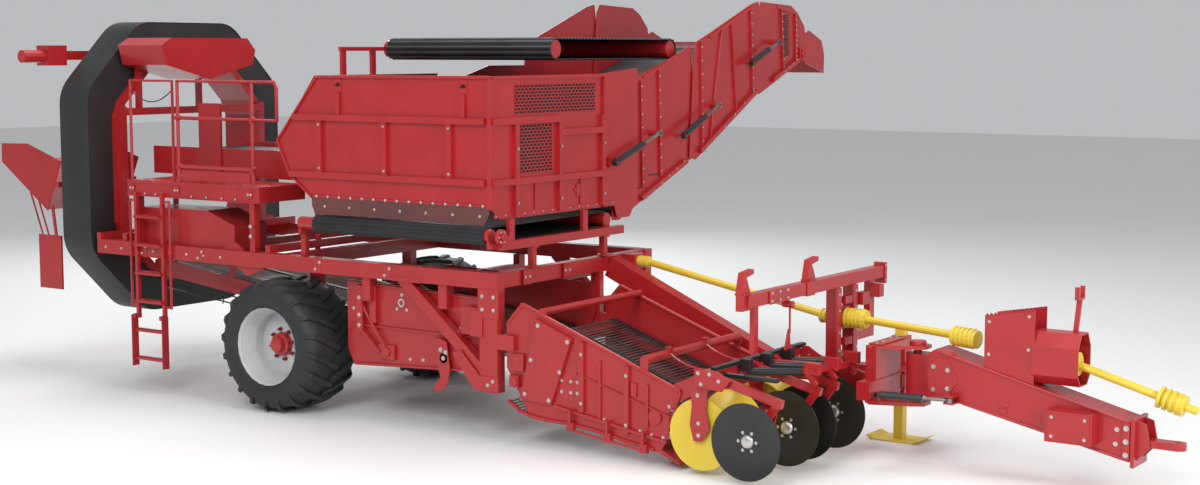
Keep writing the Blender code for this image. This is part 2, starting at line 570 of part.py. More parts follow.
# ------------------------------------------------------------------ bunker
def make_bunker():
    """Side wall with its rails, rear wall, front wall and belt."""
    y = BEAM_RIGHT
    edge = BUNKER_FRONT - GAP
    side = [(0.58, 3.36), (edge, BUNKER_TOP), (edge, 2.16), (0.50, 2.16), (0.20, 2.38), (0.03, 2.72)]
    solids = [plate("xz", y, y + SHEET, side)]
    for low, high, rear in ((2.93, 2.99, 0.27), (2.37, 2.43, 0.22)):
        solids.append(box((rear, 2.655), (y - 0.04, y + 0.002), (low, high)))
    for x in (0.62, 1.45, 2.24):
        solids.append(box((x - 0.03, x + 0.03), (y - 0.035, y + 0.003), (2.40, 2.96)))
    node("bunker_side_wall", "red", solids)

    rear = strip([(0.545, 3.36), (0.045, 2.72), (0.215, 2.39), (0.50, 2.165)], -SHEET)
    node("bunker_rear_wall", "red", [plate("xz", y + SHEET + GAP, 2.08, rear)] + filling_belt_frame())

    x = BUNKER_FRONT
    wall = [(y, 2.16), (y, BUNKER_TOP), (1.97, 3.38), (2.62, 3.43), (2.62, 2.12), (2.48, 1.93), (2.26, 1.93),
            (2.20, 2.06), (0.35, 2.06)]
    solids = [plate("yz", x, x + SHEET, wall)]
    for low, high, left in ((2.93, 2.99, 1.25), (2.37, 2.43, 2.05)):
        solids.append(box((x + 0.002, x + 0.05), (y + 0.01, left), (low, high)))
    solids.append(box((x + 0.003, x + 0.05), (1.25 - 0.01, 1.97), (2.80, 2.86)))
    for place in (0.56, 1.25, 1.97):
        solids.append(box((x + 0.004, x + 0.045), (place - 0.03, place + 0.03), (2.08, 2.98)))
    base = RAMS["lift"][0]
    solids.append(rod((x + 0.002, base[1], base[2]), (RAM_X + 0.03, base[1], base[2]), PIN_RADIUS))
    solids.append(box((x + 0.003, x + 0.045), (base[1] - 0.05, base[1] + 0.05),
                      (base[2] - 0.05, base[2] + 0.05)))
    node("bunker_front_wall", "red", solids)

    # base: rail and posts that stand on the frame
    solids = [box((x - 0.01, x + 0.06), (0.30, 2.30), (1.78, 1.86))]
    for place in (0.80, 1.98):
        solids.append(box((x - 0.005, x + 0.055), (place - 0.03, place + 0.03),
                          (BEAM_HIGH - 0.004 + GAP, 1.80)))
    solids.append(box((x + 0.012, x + 0.05), (0.42, 0.50), (1.80, 2.06 - GAP)))
    solids.append(box((x + 0.012, x + 0.05), (1.60, 1.68), (1.80, 2.06 - GAP)))
    tail, head = BELT_TAIL, LIFT_PIVOT
    head = (head[0] - 0.25, head[1] - 0.05)
    solids.append(box((0.26, 0.34), (0.24, BEAM_LEFT - 0.02), (1.79, 1.85)))
    for y in (0.262, BEAM_LEFT - 0.08):
        solids.append(box((0.27, 0.33), (y, y + 0.056), (BEAM_HIGH + GAP, 1.80)))
    solids += drums("yz", 0.31, x - 0.012, tail, head, BELT_ROLLER, BELT_SHEET)
    for y, z in (tail, head):
        solids.append(box((0.305, 0.335), (y - 0.04, y + 0.04), (1.80, z + 0.02)))
        solids.append(box((x - 0.04, x - 0.011), (y - 0.045, y + 0.045), (1.80, z + 0.02)))
        solids.append(box((x - 0.039, x + 0.005), (min(y, 2.0) - 0.044, y + 0.08), (1.795, 1.85)))
    y, z = LIFT_PIVOT
    solids.append(box((0.33, HINGE_REAR), (y - 0.06, y + 0.06), (1.80, z + 0.06)))
    node("bunker_base", "red", solids)
    node("bunker_belt", "rubber", [belt("yz", BELT_REAR, BELT_FRONT, tail, head, BELT_ROLLER, BELT_SHEET)])


# cylinder: base pin, rod pin; and the bodies they are on
WALL_STEP = 0.012       # between the walls of neighbouring sections
HINGE_REAR = 0.40       # bracket face behind the elevator's rear wall
PIN_RADIUS = 0.0140
PIN_HOLE = 0.0148
EYE_HALF = 0.02
RAM_X = BUNKER_FRONT + 0.085
STEER_BARREL_PIN = (6.05, 1.34, 0.64)
RAMS = {
    "lift": ((RAM_X, 2.12, 2.50), (RAM_X, 2.92, 2.76)),
    "knee": ((RAM_X, 3.40, 2.72), (RAM_X, 4.10, 3.02)),
    "head": ((RAM_X, 4.82, 3.47), (RAM_X, 5.42, 3.70)),
    "steering": (STEER_BARREL_PIN, (6.66, 1.45, 0.64)),
}
RAM_BODIES = {"lift": ("root", "lower"), "knee": ("lower", "middle"), "head": ("middle", "head"),
              "steering": ("root", "drawbar")}

SECTIONS = {    # body: inset of its walls, then the outline of one wall in Y and Z
    "lower": (0.020, [(2.22, 1.91), (2.34, 1.90), (3.72, 2.45), (3.84, 2.52), (3.86, 2.62), (3.70, 3.66),
                      (3.32, 3.53), (3.05, 3.45), (2.50, 3.30), (2.22, 2.40)]),
    "middle": (0.0, [(3.66, 2.47), (3.78, 2.44), (5.10, 3.12), (5.22, 3.18), (5.26, 3.28), (5.12, 4.15),
                     (4.96, 4.12), (4.03, 3.78), (3.80, 3.70), (3.74, 3.60)]),
    "head": (0.020, [(5.06, 3.14), (5.18, 3.11), (6.10, 3.45), (6.31, 3.62), (6.25, 3.88), (6.08, 4.04),
                     (5.92, 4.12), (5.20, 4.15), (5.14, 4.05)]),
}
SECTION_PIVOTS = {"lower": LIFT_PIVOT, "middle": KNEE_PIVOT, "head": HEAD_PIVOT}
SECTION_BELTS = {"lower": ((2.30, 1.99), (3.60, 2.545)), "middle": ((3.98, 2.70), (4.98, 3.20)),
                 "head": ((5.20, 3.29), (6.12, 3.58))}


def chute_solids():
    """The chute on the head section's end: two cheeks and the curved lip between them."""
    front = BUNKER_FRONT - SHEET - 0.012 - SECTIONS["head"][0]
    rear = ELEVATOR_REAR + SECTIONS["head"][0]
    cheek = [(6.10, 3.62), (6.14, 3.76), (6.36, 3.84), (6.68, 3.72), (6.75, 3.55), (6.74, 3.33), (6.66, 3.36),
             (6.30, 3.45)]
    lip = strip([(6.12, 3.70), (6.30, 3.66), (6.66, 3.52), (6.735, 3.34)], 0.01)
    return [plate("yz", front + 0.001, front + SHEET + 0.004, cheek),
            plate("yz", rear - SHEET - 0.004, rear - 0.001, cheek),
            plate("yz", rear - 0.002, front + 0.002, lip)]


def hinge_bosses(name, front, rear):
    """Round bosses of a section: its hinge to the one before, and its cylinder's pins."""
    y, z = SECTION_PIVOTS[name]
    if name == "lower":
        spans = ((front + SHEET - 0.002, BUNKER_FRONT - GAP), (HINGE_REAR + GAP, rear - SHEET + 0.002))
    elif name == "middle":
        spans = ((front - WALL_STEP + GAP, front + 0.002), (rear - 0.002, rear + WALL_STEP - GAP))
    else:
        spans = ((front + SHEET - 0.002, front + SHEET + WALL_STEP - GAP),
                 (rear - SHEET - WALL_STEP + GAP, rear - SHEET + 0.002))
    solids = [rod((low, y, z), (high, y, z), 0.045) for low, high in spans]
    wall = front + SHEET - 0.002
    for ram, (base, end) in RAMS.items():
        if RAM_BODIES[ram][0] == name:
            solids.append(rod((wall, base[1], base[2]), (RAM_X + 0.03, base[1], base[2]), PIN_RADIUS))
        if RAM_BODIES[ram][1] == name:
            solids.append(rod((wall, end[1], end[2]), (RAM_X - EYE_HALF - GAP, end[1], end[2]), 0.03))
    return solids


def make_elevator():
    """Three hinged sections, each with two walls joined by cross tubes, and its belt."""
    for name, (inset, outline) in SECTIONS.items():
        front = BUNKER_FRONT - SHEET - 0.012 - inset
        rear = ELEVATOR_REAR + inset
        pivot = (0, *SECTION_PIVOTS[name])
        (y0, z0), (y1, z1) = SECTION_BELTS[name]
        solids = [plate("yz", front, front + SHEET, outline), plate("yz", rear - SHEET, rear, outline)]
        if name == "lower":
            lowered = [(y, min(z, 3.44)) for y, z in outline]
            solids[1] = plate("yz", rear - SHEET, rear, lowered)
        solids += drums("yz", rear - 0.002, front + 0.002, (y0, z0), (y1, z1), SECTION_ROLLER, SECTION_SHEET)
        solids += hinge_bosses(name, front, rear)
        if name == "head":
            solids += chute_solids()
        node(f"elevator_{name}", "red", solids, pivot=pivot)
        loop = belt("yz", ELEVATOR_REAR + 0.03, BUNKER_FRONT - 0.05, (y0, z0), (y1, z1),
                    SECTION_ROLLER, SECTION_SHEET)
        node(f"elevator_belt_{name}", "rubber", [loop], pivot=pivot)


def make_rams():
    """Barrels and rods; each barrel turns on its base pin and its rod ends at the other pin."""
    for name, (base, end) in RAMS.items():
        base, end = Vector(base), Vector(end)
        ahead = (end - base).normalized()
        length = (end - base).length
        side = Vector((0, 0, 1)) if name == "steering" else Vector((1, 0, 0))
        barrel_end = base + ahead * length * 0.62
        eye = 0.026
        solids = [rod(base + ahead * 0.02, barrel_end, 0.032),
                  rod(base - side * EYE_HALF, base + side * EYE_HALF, eye + 0.012)]
        bore = rod(base + ahead * 0.10, barrel_end + ahead * 0.05, 0.0165)
        hole = rod(base - side * 0.05, base + side * 0.05, PIN_HOLE)
        node(f"{name}_ram_barrel", "black", solids, [bore, hole], pivot=tuple(base))
        solids = [rod(base + ahead * length * 0.30, end - ahead * 0.02, 0.016),
                  rod(end - side * EYE_HALF, end + side * EYE_HALF, eye + 0.006)]
        hole = rod(end - side * 0.05, end + side * 0.05, PIN_HOLE)
        node(f"{name}_ram_rod", "steel", solids, [hole], pivot=tuple(end))


# ------------------------------------------------------------------ filling belt, platform, ladder
FILLING_BELT = ((1.37, 3.62), (3.42, 3.62))     # Y, Z of its rollers
FILLING_SPAN = (0.54, 2.60)
FILLING_ROLLER = 0.11


def filling_belt_frame():
    """Two drums on a side rail, carried by posts on the bunker's rear wall."""
    rear, front = FILLING_SPAN
    solids = [box((rear - 0.06, rear - 0.012), (0.62, 3.46), (3.60, 3.64))]
    solids += drums("yz", rear - 0.05, front - 0.01, *FILLING_BELT, FILLING_ROLLER, BELT_SHEET)
    for y in (0.66, 1.10):
        solids.append(box((rear - 0.055, rear - 0.02), (y - 0.03, y + 0.03), (3.20, 3.62)))
    return solids


def make_filling_belt():
    loop = belt("yz", *FILLING_SPAN, *FILLING_BELT, FILLING_ROLLER, BELT_SHEET)
    node("filling_belt", "rubber", [loop])


# chain across the entry: it hangs from an eye on each post
CHAIN_RADIUS = 0.006
CHAIN_EYE_GAP = 0.0039      # its tilted end clears the eye
ENTRY_CHAIN = [
    (-2.114, 0.239, 3.1800), (-2.072, 0.239, 3.1508), (-2.030, 0.239, 3.1261), (-1.988, 0.239, 3.1059),
    (-1.946, 0.239, 3.0902), (-1.904, 0.239, 3.0790), (-1.862, 0.239, 3.0722), (-1.820, 0.239, 3.0700),
    (-1.778, 0.239, 3.0722), (-1.736, 0.239, 3.0790), (-1.694, 0.239, 3.0902), (-1.652, 0.239, 3.1059),
    (-1.610, 0.239, 3.1261), (-1.568, 0.239, 3.1508), (-1.526, 0.239, 3.1800),
]


def make_platform():
    """Deck with its fascia and feet, the railing and the entry frame."""
    y = BEAM_RIGHT
    skirt = (DECK_LOW, DECK_HIGH - 0.01)
    solids = [box((DECK_REAR, DECK_FRONT), (y, DECK_INNER), (DECK_HIGH - 0.04, DECK_HIGH)),
              box((DECK_REAR + 0.001, DECK_FRONT - 0.001), (y + 0.001, y + 0.012), skirt),
              box((DECK_FRONT - 0.013, DECK_FRONT - 0.002), (y + 0.002, DECK_INNER - 0.002), skirt),
              box((DECK_REAR + 0.002, DECK_REAR + 0.013), (y + 0.002, DECK_INNER - 0.002), skirt)]
    for x in (-2.06, -0.36):
        solids.append(box((x - 0.035, x + 0.035), (y + 0.02, y + 0.09), (BEAM_HIGH + GAP, DECK_HIGH - 0.02)))
    edge = y + 0.035
    foot = DECK_HIGH - 0.02
    rear, front = -1.42, DECK_FRONT - 0.12
    rails = [[(rear, foot), (rear, RAIL_HIGH), (-0.03, RAIL_HIGH), (0.0, RAIL_HIGH - 0.05), (0.0, 2.91),
              (rear + 0.005, 2.91)],
             [(front, foot), (front, RAIL_HIGH - 0.005)],
             [(rear + 0.005, 2.41), (front - 0.005, 2.41)],
             [(ENTRY[0], foot), (ENTRY[0], RAIL_HIGH), (ENTRY[1], RAIL_HIGH), (ENTRY[1], foot)]]
    for number, rail in enumerate(rails):
        thinner = 0.0012 * number
        solids.append(pipe([(x, edge + thinner, z) for x, z in rail], RAIL_RADIUS - thinner))
    for post, end in zip(ENTRY, (ENTRY_CHAIN[0], ENTRY_CHAIN[-1])):
        reach = end[0] + math.copysign(CHAIN_EYE_GAP, post - end[0])
        solids.append(box(sorted((post, reach)), (end[1] - 0.007, end[1] + 0.007),
                          (end[2] - 0.012, end[2] + 0.012)))
    node("platform", "red", solids)
    node("entry_chain", "black", [pipe(ENTRY_CHAIN, CHAIN_RADIUS)])


LADDER_X = (-2.02, -1.62)
LADDER_FACE = 0.155
FOLD_Y, FOLD_Z = 0.118, 0.80     # hinge of the lower part


def make_ladder():
    """Upper ladder hung from the deck, and the lower part that folds up outside it."""
    pitch = 0.30
    x0, x1 = LADDER_X
    solids = []
    for x in LADDER_X:
        solids.append(box((x - 0.018, x + 0.018), (LADDER_FACE, LADDER_FACE + 0.04), (0.78, 2.12)))
        solids.append(box((x - 0.017, x + 0.017), (LADDER_FACE + 0.001, BEAM_RIGHT + 0.001 - GAP),
                          (2.08, 2.119)))
    for step in range(4):
        z = 1.87 - pitch * step
        solids.append(box((x0, x1), (LADDER_FACE - 0.03, BEAM_RIGHT - RUN), (z - 0.02, z + 0.005)))
    for x, out in ((x0, -1), (x1, 1)):
        solids.append(box((x - 0.016, x + 0.016), (FOLD_Y - 0.012, LADDER_FACE + 0.002), (0.785, 0.83)))
        solids.append(rod((x, FOLD_Y, FOLD_Z), (x + out * 0.045, FOLD_Y, FOLD_Z), 0.0100, 10))
    for x, out in ((x0 - 0.10, -1), (x1 + 0.10, 1)):
        y = LADDER_FACE + 0.023
        solids.append(rod((x, y, 0.906), (x, y, 2.044), 0.014, 8))
        for z in (0.92, 2.03):
            solids.append(rod((x - out * 0.091, y, z), (x + out * 0.002, y, z), 0.0137, 8))
    node("ladder_upper", "red", solids)
    x_low, x_high = x0 - 0.032, x1 + 0.032
    solids = []
    for x in (x_low, x_high):
        solids.append(box((x - 0.006, x + 0.006), (FOLD_Y - 0.02, LADDER_FACE + 0.03), (0.27, 0.82)))
    for z in (0.66, 0.36):
        solids.append(box((x_low, x_high), (LADDER_FACE - 0.031, LADDER_FACE + 0.01), (z - 0.02, z + 0.005)))
    hole = rod((x_low - 0.1, FOLD_Y, FOLD_Z), (x_high + 0.1, FOLD_Y, FOLD_Z), 0.0109, 10)
    node("ladder_lower", "red", solids, [hole], pivot=(0, FOLD_Y, FOLD_Z))


def make_tank():
    low = BEAM_HIGH + GAP
    tank = [(-2.12, low), (-2.12, 1.95), (-1.09, 1.96), (-0.69, 1.82), (-0.69, low)]
    node("hydraulic_tank", "red", [plate("xz", BEAM_RIGHT + 0.095, BEAM_RIGHT + 0.55, tank)])


# ------------------------------------------------------------------ ring elevator and rear end
def octagon(half_width, half_height, chamfer):
    """Rounded octagon about the ring's centre."""
    y, z = RING_CENTRE
    a, b, c = half_width, half_height, chamfer
    corners = [(a, b - c), (a - c, b), (-(a - c), b), (-a, b - c),
               (-a, -(b - c)), (-(a - c), -b), (a - c, -b), (a, -(b - c))]
    points = []
    cut = 0.10
    for index, corner in enumerate(corners):
        before, after = Vector(corners[index - 1]), Vector(corners[(index + 1) % 8])
        corner = Vector(corner)
        points.append(corner + (before - corner).normalized() * cut)
        points.append(corner + (after - corner).normalized() * cut)
    return [(y + p.x, z + p.y) for p in points]


def make_ring():
    front, rear = RING_FRONT, RING_FRONT - RING_DEPTH
    outer = octagon(RING_HALF_WIDTH, RING_HALF_HEIGHT, RING_CHAMFER)
    shrink = RING_BAND * math.tan(math.radians(22.5))
    inner = octagon(RING_HALF_WIDTH - RING_BAND, RING_HALF_HEIGHT - RING_BAND, RING_CHAMFER - shrink)
    node("ring_elevator", "rubber", [plate("yz", rear, front, outer, inner)])
    band = 0.07
    skin = RING_BAND + GAP
    shrink = skin * math.tan(math.radians(22.5))
    inside = octagon(RING_HALF_WIDTH - skin, RING_HALF_HEIGHT - skin, RING_CHAMFER - shrink)
    shrink = (skin + band) * math.tan(math.radians(22.5))
    core = octagon(RING_HALF_WIDTH - skin - band, RING_HALF_HEIGHT - skin - band, RING_CHAMFER - shrink)
    node("ring_frame", "red", [plate("yz", rear - 0.02, front + 0.06, inside, core)])


def make_ring_carrier():
    """Posts and sill that hold the ring's frame on the side beams, with the hood over the outlet."""
    y0 = RING_CENTRE[0] - RING_HALF_WIDTH + RING_BAND + 0.02
    y1 = RING_CENTRE[0] + RING_HALF_WIDTH - RING_BAND - 0.02
    x = RING_FRONT + 0.06 + GAP
    sill = (BEAM_HIGH + GAP, BEAM_HIGH + 0.07)
    solids = [box((x, x + 0.07), (y0, y0 + 0.08), (BEAM_HIGH + GAP, 3.0)),
              box((x, x + 0.07), (y1 - 0.08, y1), (BEAM_HIGH + GAP, 3.0)),
              box((x + 0.001, x + 0.069), (BEAM_RIGHT, BEAM_LEFT), sill),
              box((x + 0.002, x + 0.068), (y0 + 0.01, y1 - 0.01), (2.90, 2.98))]
    for y in (0.78, 1.66):
        solids.append(box((x + 0.004, x + 0.066), (y, y + 0.05), (2.92, 3.70)))
    rear, front = x, -2.0
    hood = [(0.56, 3.66), (0.70, 3.74), (1.82, 3.74), (1.94, 3.61), (1.90, 3.45), (1.25, 3.29), (0.62, 3.45)]
    centre = Vector((1.25, 3.52))
    hollow = [tuple(centre + (Vector(point) - centre) * 0.97) for point in hood]
    solids.append(plate("yz", rear + 0.003, front, hood, hollow))
    solids.append(plate("yz", front - 0.006, front,
                        [tuple(centre + (Vector(p) - centre) * 0.985) for p in hood]))
    node("ring_carrier", "red", solids)


def make_sorting_table():
    """Sorting belt inside its two side frames, behind the platform."""
    low, high = DECK_INNER + 0.08, 2.20
    rear, front = RING_FRONT + 0.16, 0.0
    solids = []
    for y in (low, high):
        solids.append(box((rear, front), (y, y + 0.03), (2.26, 2.56)))
    for x in (rear + 0.12, front - 0.14):
        solids.append(box((x, x + 0.06), (low + 0.001, high + 0.029), (2.27, 2.33)))
    for x in (-2.30, -0.18):
        for y in (low + 0.001, high + 0.001):
            solids.append(box((x, x + 0.06), (y, y + 0.028), (BEAM_HIGH + 0.07, 2.30)))
    for x in (-2.30, -0.18):
        solids.append(box((x, x + 0.06), (BEAM_RIGHT + 0.02, BEAM_LEFT - 0.02),
                          (BEAM_HIGH + GAP, BEAM_HIGH + 0.08)))
    solids += drums("xz", low + 0.001, high + 0.029, (rear + 0.10, 2.46), (front - 0.08, 2.46), 0.05, 0.012)
    # stand with the controls
    solids.append(box((-1.85, -1.52), (low - 0.02, low + 0.01), (2.30, 3.04)))
    node("sorting_table", "red", solids)
    node("sorting_belt", "rubber", [belt("xz", low + 0.04, high - 0.01, (rear + 0.10, 2.46),
                                         (front - 0.08, 2.46), 0.05, 0.012)])


def make_rear():
    side = [(-4.39, 2.56), (-3.94, 2.57), (-3.37, 2.39), (-3.62, 1.83), (-4.39, 2.35)]
    solids = [plate("xz", 0.30, 0.30 + SHEET, side), plate("xz", 1.40, 1.40 + SHEET, side)]
    floor = strip([(-4.37, 2.36), (-3.62, 1.85)], -0.008)
    solids.append(plate("xz", 0.301, 1.40 + SHEET - 0.001, floor))
    solids.append(box((-3.56, -3.42), (0.302, 1.40 + SHEET - 0.002), (2.10, 2.16)))
    solids.append(box((-3.50, RING_FRONT - RING_DEPTH - 0.02 - GAP), (0.56, 0.62), (2.10, 2.16)))
    solids.append(box((-3.80, -3.42), (0.31, 0.33), (0.96, 1.56)))
    for shift in (0.0, 0.10):
        solids.append(bar((-3.98 + shift, 0.318, 2.16), (-3.72 + shift, 0.318, 1.52), 0.012, 0.016,
                          (1, 0, 0)))
    solids.append(bar((-3.56, 0.318, 1.90), (-3.50, 0.318, 1.50), 0.014, 0.04, (1, 0, 0)))
    node("rear_chute", "red", solids)
    y = 0.02
    solids = [rod((-3.56, y - 0.05, 3.54), (-3.56, y + 0.24, 3.54), 0.07),
              box((-3.66, -3.46), (y + 0.23, y + 0.48), (3.44, 3.66)),
              box((-3.60, -3.50), (y + 0.47, y + 1.00), (3.50, 3.60)),
              box((-3.56, RING_FRONT - RING_DEPTH - 0.02 - GAP), (0.92, 0.99), (3.40, 3.58))]
    node("ring_drive", "red", solids)


# ------------------------------------------------------------------ gantry, drawbar, shafts
GANTRY_X = (5.26, 5.36)
SHAFT_FACE = 7.60           # bulkhead in the drawbar's guard that carries the front shaft
SHAFT_BEARING_Z = 1.17


def make_gantry():
    x0, x1 = GANTRY_X
    mast = (1.86, 2.26)
    foot = BOOM_LINE[2][1] + BOOM_HALF_HEIGHT + GAP
    solids = [box((x0, x1), (0.28, 2.90), (1.46, 1.57)),
              box((x0 + 0.03, x1 - 0.02), (0.42, 0.48), (1.06, 1.48)),
              box((x0 + 0.005, x1 - 0.005), (mast[0], mast[0] + 0.07), (foot, 1.50)),
              box((x0 + 0.005, x1 - 0.005), (mast[1] - 0.07, mast[1]), (foot, 1.50)),
              box((x0 + 0.01, x1 - 0.01), (mast[0] + 0.01, mast[1] - 0.01), (foot, 0.84)),
              box((x0 + 0.012, x1), (mast[0] + 0.012, mast[1] - 0.012),
                  (SHAFT_BEARING_Z - 0.10, SHAFT_BEARING_Z + 0.10)),
              box((x0 + 0.02, x1 - 0.02), (2.60, 2.70), (0.92, 1.48)),
              box((x0 + 0.021, x1 - 0.021), (mast[1] - 0.01, 2.69), (0.92, 1.0))]
    hook = [(0.20, 1.44), (0.34, 1.44), (0.34, 1.60), (0.28, 1.72), (0.40, 1.74), (0.40, 1.78),
            (0.24, 1.76), (0.20, 1.62)]
    for shift in (0.0, 1.16):
        moved = [(u + shift, v) for u, v in hook]
        solids.append(plate("yz", x0 + 0.02, x1 - 0.02, moved))
    node("gantry", "red", solids)


def drawbar_top(x):
    (x0, z0), (x1, z1) = DRAWBAR_TOP
    return z0 + (z1 - z0) * (x - x0) / (x1 - x0)


def make_drawbar():
    x, y = STEER_PIVOT
    pivot = (x, y, 0.5)
    low, high = y - DRAWBAR_HALF, y + DRAWBAR_HALF
    side = [(6.40, 1.00), DRAWBAR_TOP[0], DRAWBAR_TOP[1], (DRAWBAR_FRONT, 0.28), (6.72, 0.60), (6.40, 0.60)]
    solids = [plate("xz", low, high, side)]
    tongue = [(x, y - 0.10), (6.45, y - 0.10), (6.45, y + 0.10), (x, y + 0.10)]
    tongue += arc((x, y), 0.10, 90, 270, 10)[1:-1]
    solids.append(plate("xy", 0.62, 0.98, tongue))
    px, py, pz = RAMS["steering"][1]
    for z in (pz - EYE_HALF - GAP - 0.014, pz + EYE_HALF + RUN):
        solids.append(plate("xy", z, z + 0.014, [(px - 0.045, py - 0.03), (px + 0.045, py - 0.03),
                                                 (px + 0.045, low + 0.01), (px - 0.045, low + 0.01)]))
    solids.append(box((7.52, 7.92), (low - 0.14, low + 0.01), (0.40, 0.66)))
    cuts = [rod((x, y, 0.4), (x, y, 1.3), STEER_HOLE, 16)]
    node("drawbar", "red", solids, cuts, pivot=pivot)

    face = DRAWBAR_FRONT + GAP
    jaw = [(face + 0.02, y - 0.10), (face + 0.18, y - 0.06)] + arc((8.53, y), 0.07, -90, 90, 8)
    jaw += [(face + 0.18, y + 0.06), (face + 0.02, y + 0.10)]
    rib = [(face + 0.02, 0.28), (face + 0.02, 0.62), (face + 0.10, 0.60), (face + 0.14, 0.41)]
    head = [box((face, face + 0.03), (low - 0.02, high + 0.02), (0.24, 0.64)), plate("xy", 0.40, 0.46, jaw),
            plate("xz", y - 0.11, y - 0.09, rib), plate("xz", y + 0.09, y + 0.11, rib)]
    eye = rod((8.53, y, 0.3), (8.53, y, 0.6), 0.025, 20)
    node("hitch_head", "red", head, [eye], pivot=pivot)

    wall = [(6.92, drawbar_top(6.92) + GAP), (7.36, drawbar_top(7.36) + GAP), (7.36, 1.46), (6.92, 1.38)]
    solids = [plate("xz", low + 0.01, low + 0.01 + SHEET, wall),
              plate("xz", high - 0.01 - SHEET, high - 0.01, wall)]
    ring = [(0.15, -0.12), (0.15, 0.12), (0.08, 0.24), (-0.08, 0.24), (-0.15, 0.12), (-0.15, -0.12),
            (-0.08, -0.20), (0.08, -0.20)]
    centre = 1.04
    outer = [(y + u, centre + v) for u, v in ring]
    inner = [(y + u * 0.94, centre + v * 0.95) for u, v in ring]
    solids.append(plate("yz", 7.34, 7.74, outer, inner))
    solids.append(plate("yz", SHAFT_FACE - 0.02, SHAFT_FACE,
                        [(y + u * 0.97, centre + v * 0.97) for u, v in ring]))
    post_x, post_y = 7.64, high - 0.10
    solids += [bar((post_x, post_y, 1.25), (post_x + 0.03, post_y, 1.56), 0.03, 0.04, (1, 0, 0)),
              box((post_x + 0.01, post_x + 0.05), (post_y - 0.07, post_y + 0.07), (1.55, 1.57)),
              box((post_x + 0.011, post_x + 0.049), (post_y - 0.07, post_y - 0.055), (1.555, 1.66)),
              box((post_x + 0.011, post_x + 0.049), (post_y + 0.055, post_y + 0.07), (1.555, 1.66))]
    node("pto_guard", "red", solids, pivot=pivot)


def make_shafts():
    """Drive shafts in their guards: rear and middle on the frame, front on the drawbar."""
    y, z = 2.06, SHAFT_BEARING_Z
    rear_face, front_face = GANTRY_X[0] + 0.012 - GAP, GANTRY_X[1] + GAP
    tube = 0.035
    rear = [rod((GEARBOX_FACE + GAP, GEARBOX_Y, 1.50), (GEARBOX_FACE + 0.12, GEARBOX_Y, 1.50), 0.055),
            rod((GEARBOX_FACE + 0.08, GEARBOX_Y, 1.50), (rear_face - 0.08, y, z), tube),
            rod((rear_face - 0.16, y, z), (rear_face, y, z), 0.06)]
    node("pto_shaft_rear", "yellow", rear)
    middle = [rod((front_face, y, z), (front_face + 0.22, y, z), 0.085),
              rod((front_face + 0.16, y, z), (6.66, 1.74, z - 0.02), tube),
              rod((6.56, 1.75, z - 0.02), (6.80, 1.71, z - 0.03), 0.08)]
    node("pto_shaft_middle", "yellow", middle)
    pivot = (STEER_PIVOT[0], STEER_PIVOT[1], 0.5)
    y = STEER_PIVOT[1]
    front = [rod((SHAFT_FACE + GAP, y, 1.02), (SHAFT_FACE + 0.10, y, 1.02), 0.10),
             rod((SHAFT_FACE + 0.06, y, 1.02), (8.44, y, 0.80), tube),
             rod((8.36, y, 0.823), (8.58, y, 0.76), 0.06, 16, 0.09),
             rod((8.56, y, 0.766), (8.68, y, 0.732), tube)]
    node("pto_shaft_front", "yellow", front, pivot=pivot)


# ------------------------------------------------------------------ build
def set_origin():
    """Move the whole model so that the middle of its box's underside is the origin."""
    bpy.context.view_layer.update()
    view = bpy.context.evaluated_depsgraph_get()
    corners = []
    for piece in machine.objects:
        if piece.type == "MESH":
            solid = piece.evaluated_get(view)
            corners += [solid.matrix_world @ vertex.co for vertex in solid.data.vertices]
    low = [min(corner[axis] for corner in corners) for axis in range(3)]
    high = [max(corner[axis] for corner in corners) for axis in range(3)]
    datum.location = (-(low[0] + high[0]) / 2, -(low[1] + high[1]) / 2, -low[2])
    bpy.context.view_layer.update()


def build():
    make_main_frame()
    make_axle()
    make_wheel("right", TYRE_WIDTH / 2, -1)
    make_wheel("left", OVERALL_WIDTH - TYRE_WIDTH / 2, 1)
    make_boom()
    make_stand()
    make_intake_channel()
    make_webs()
    make_web_frame()
    make_digger_channel()
    make_digger_web()
    make_digger_tools()
    make_discs()
    make_rollers()
    make_bunker()
    make_elevator()
    make_rams()
    make_filling_belt()
    make_platform()
    make_ladder()
    make_tank()
    make_ring()
    make_ring_carrier()
    make_sorting_table()
    make_rear()
    make_gantry()
    make_drawbar()
    make_shafts()
    set_origin()


build()
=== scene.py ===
"""Looks of a trailed potato harvester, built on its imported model.

Places are written in machine coordinates, in metres: X forward from the wheel axle,
Y to the left from the right tyre's outer face, Z up from the ground. at() takes them
to the model's own frame.
"""

import json
import math

import bmesh
import bpy
from mathutils import Matrix, Vector


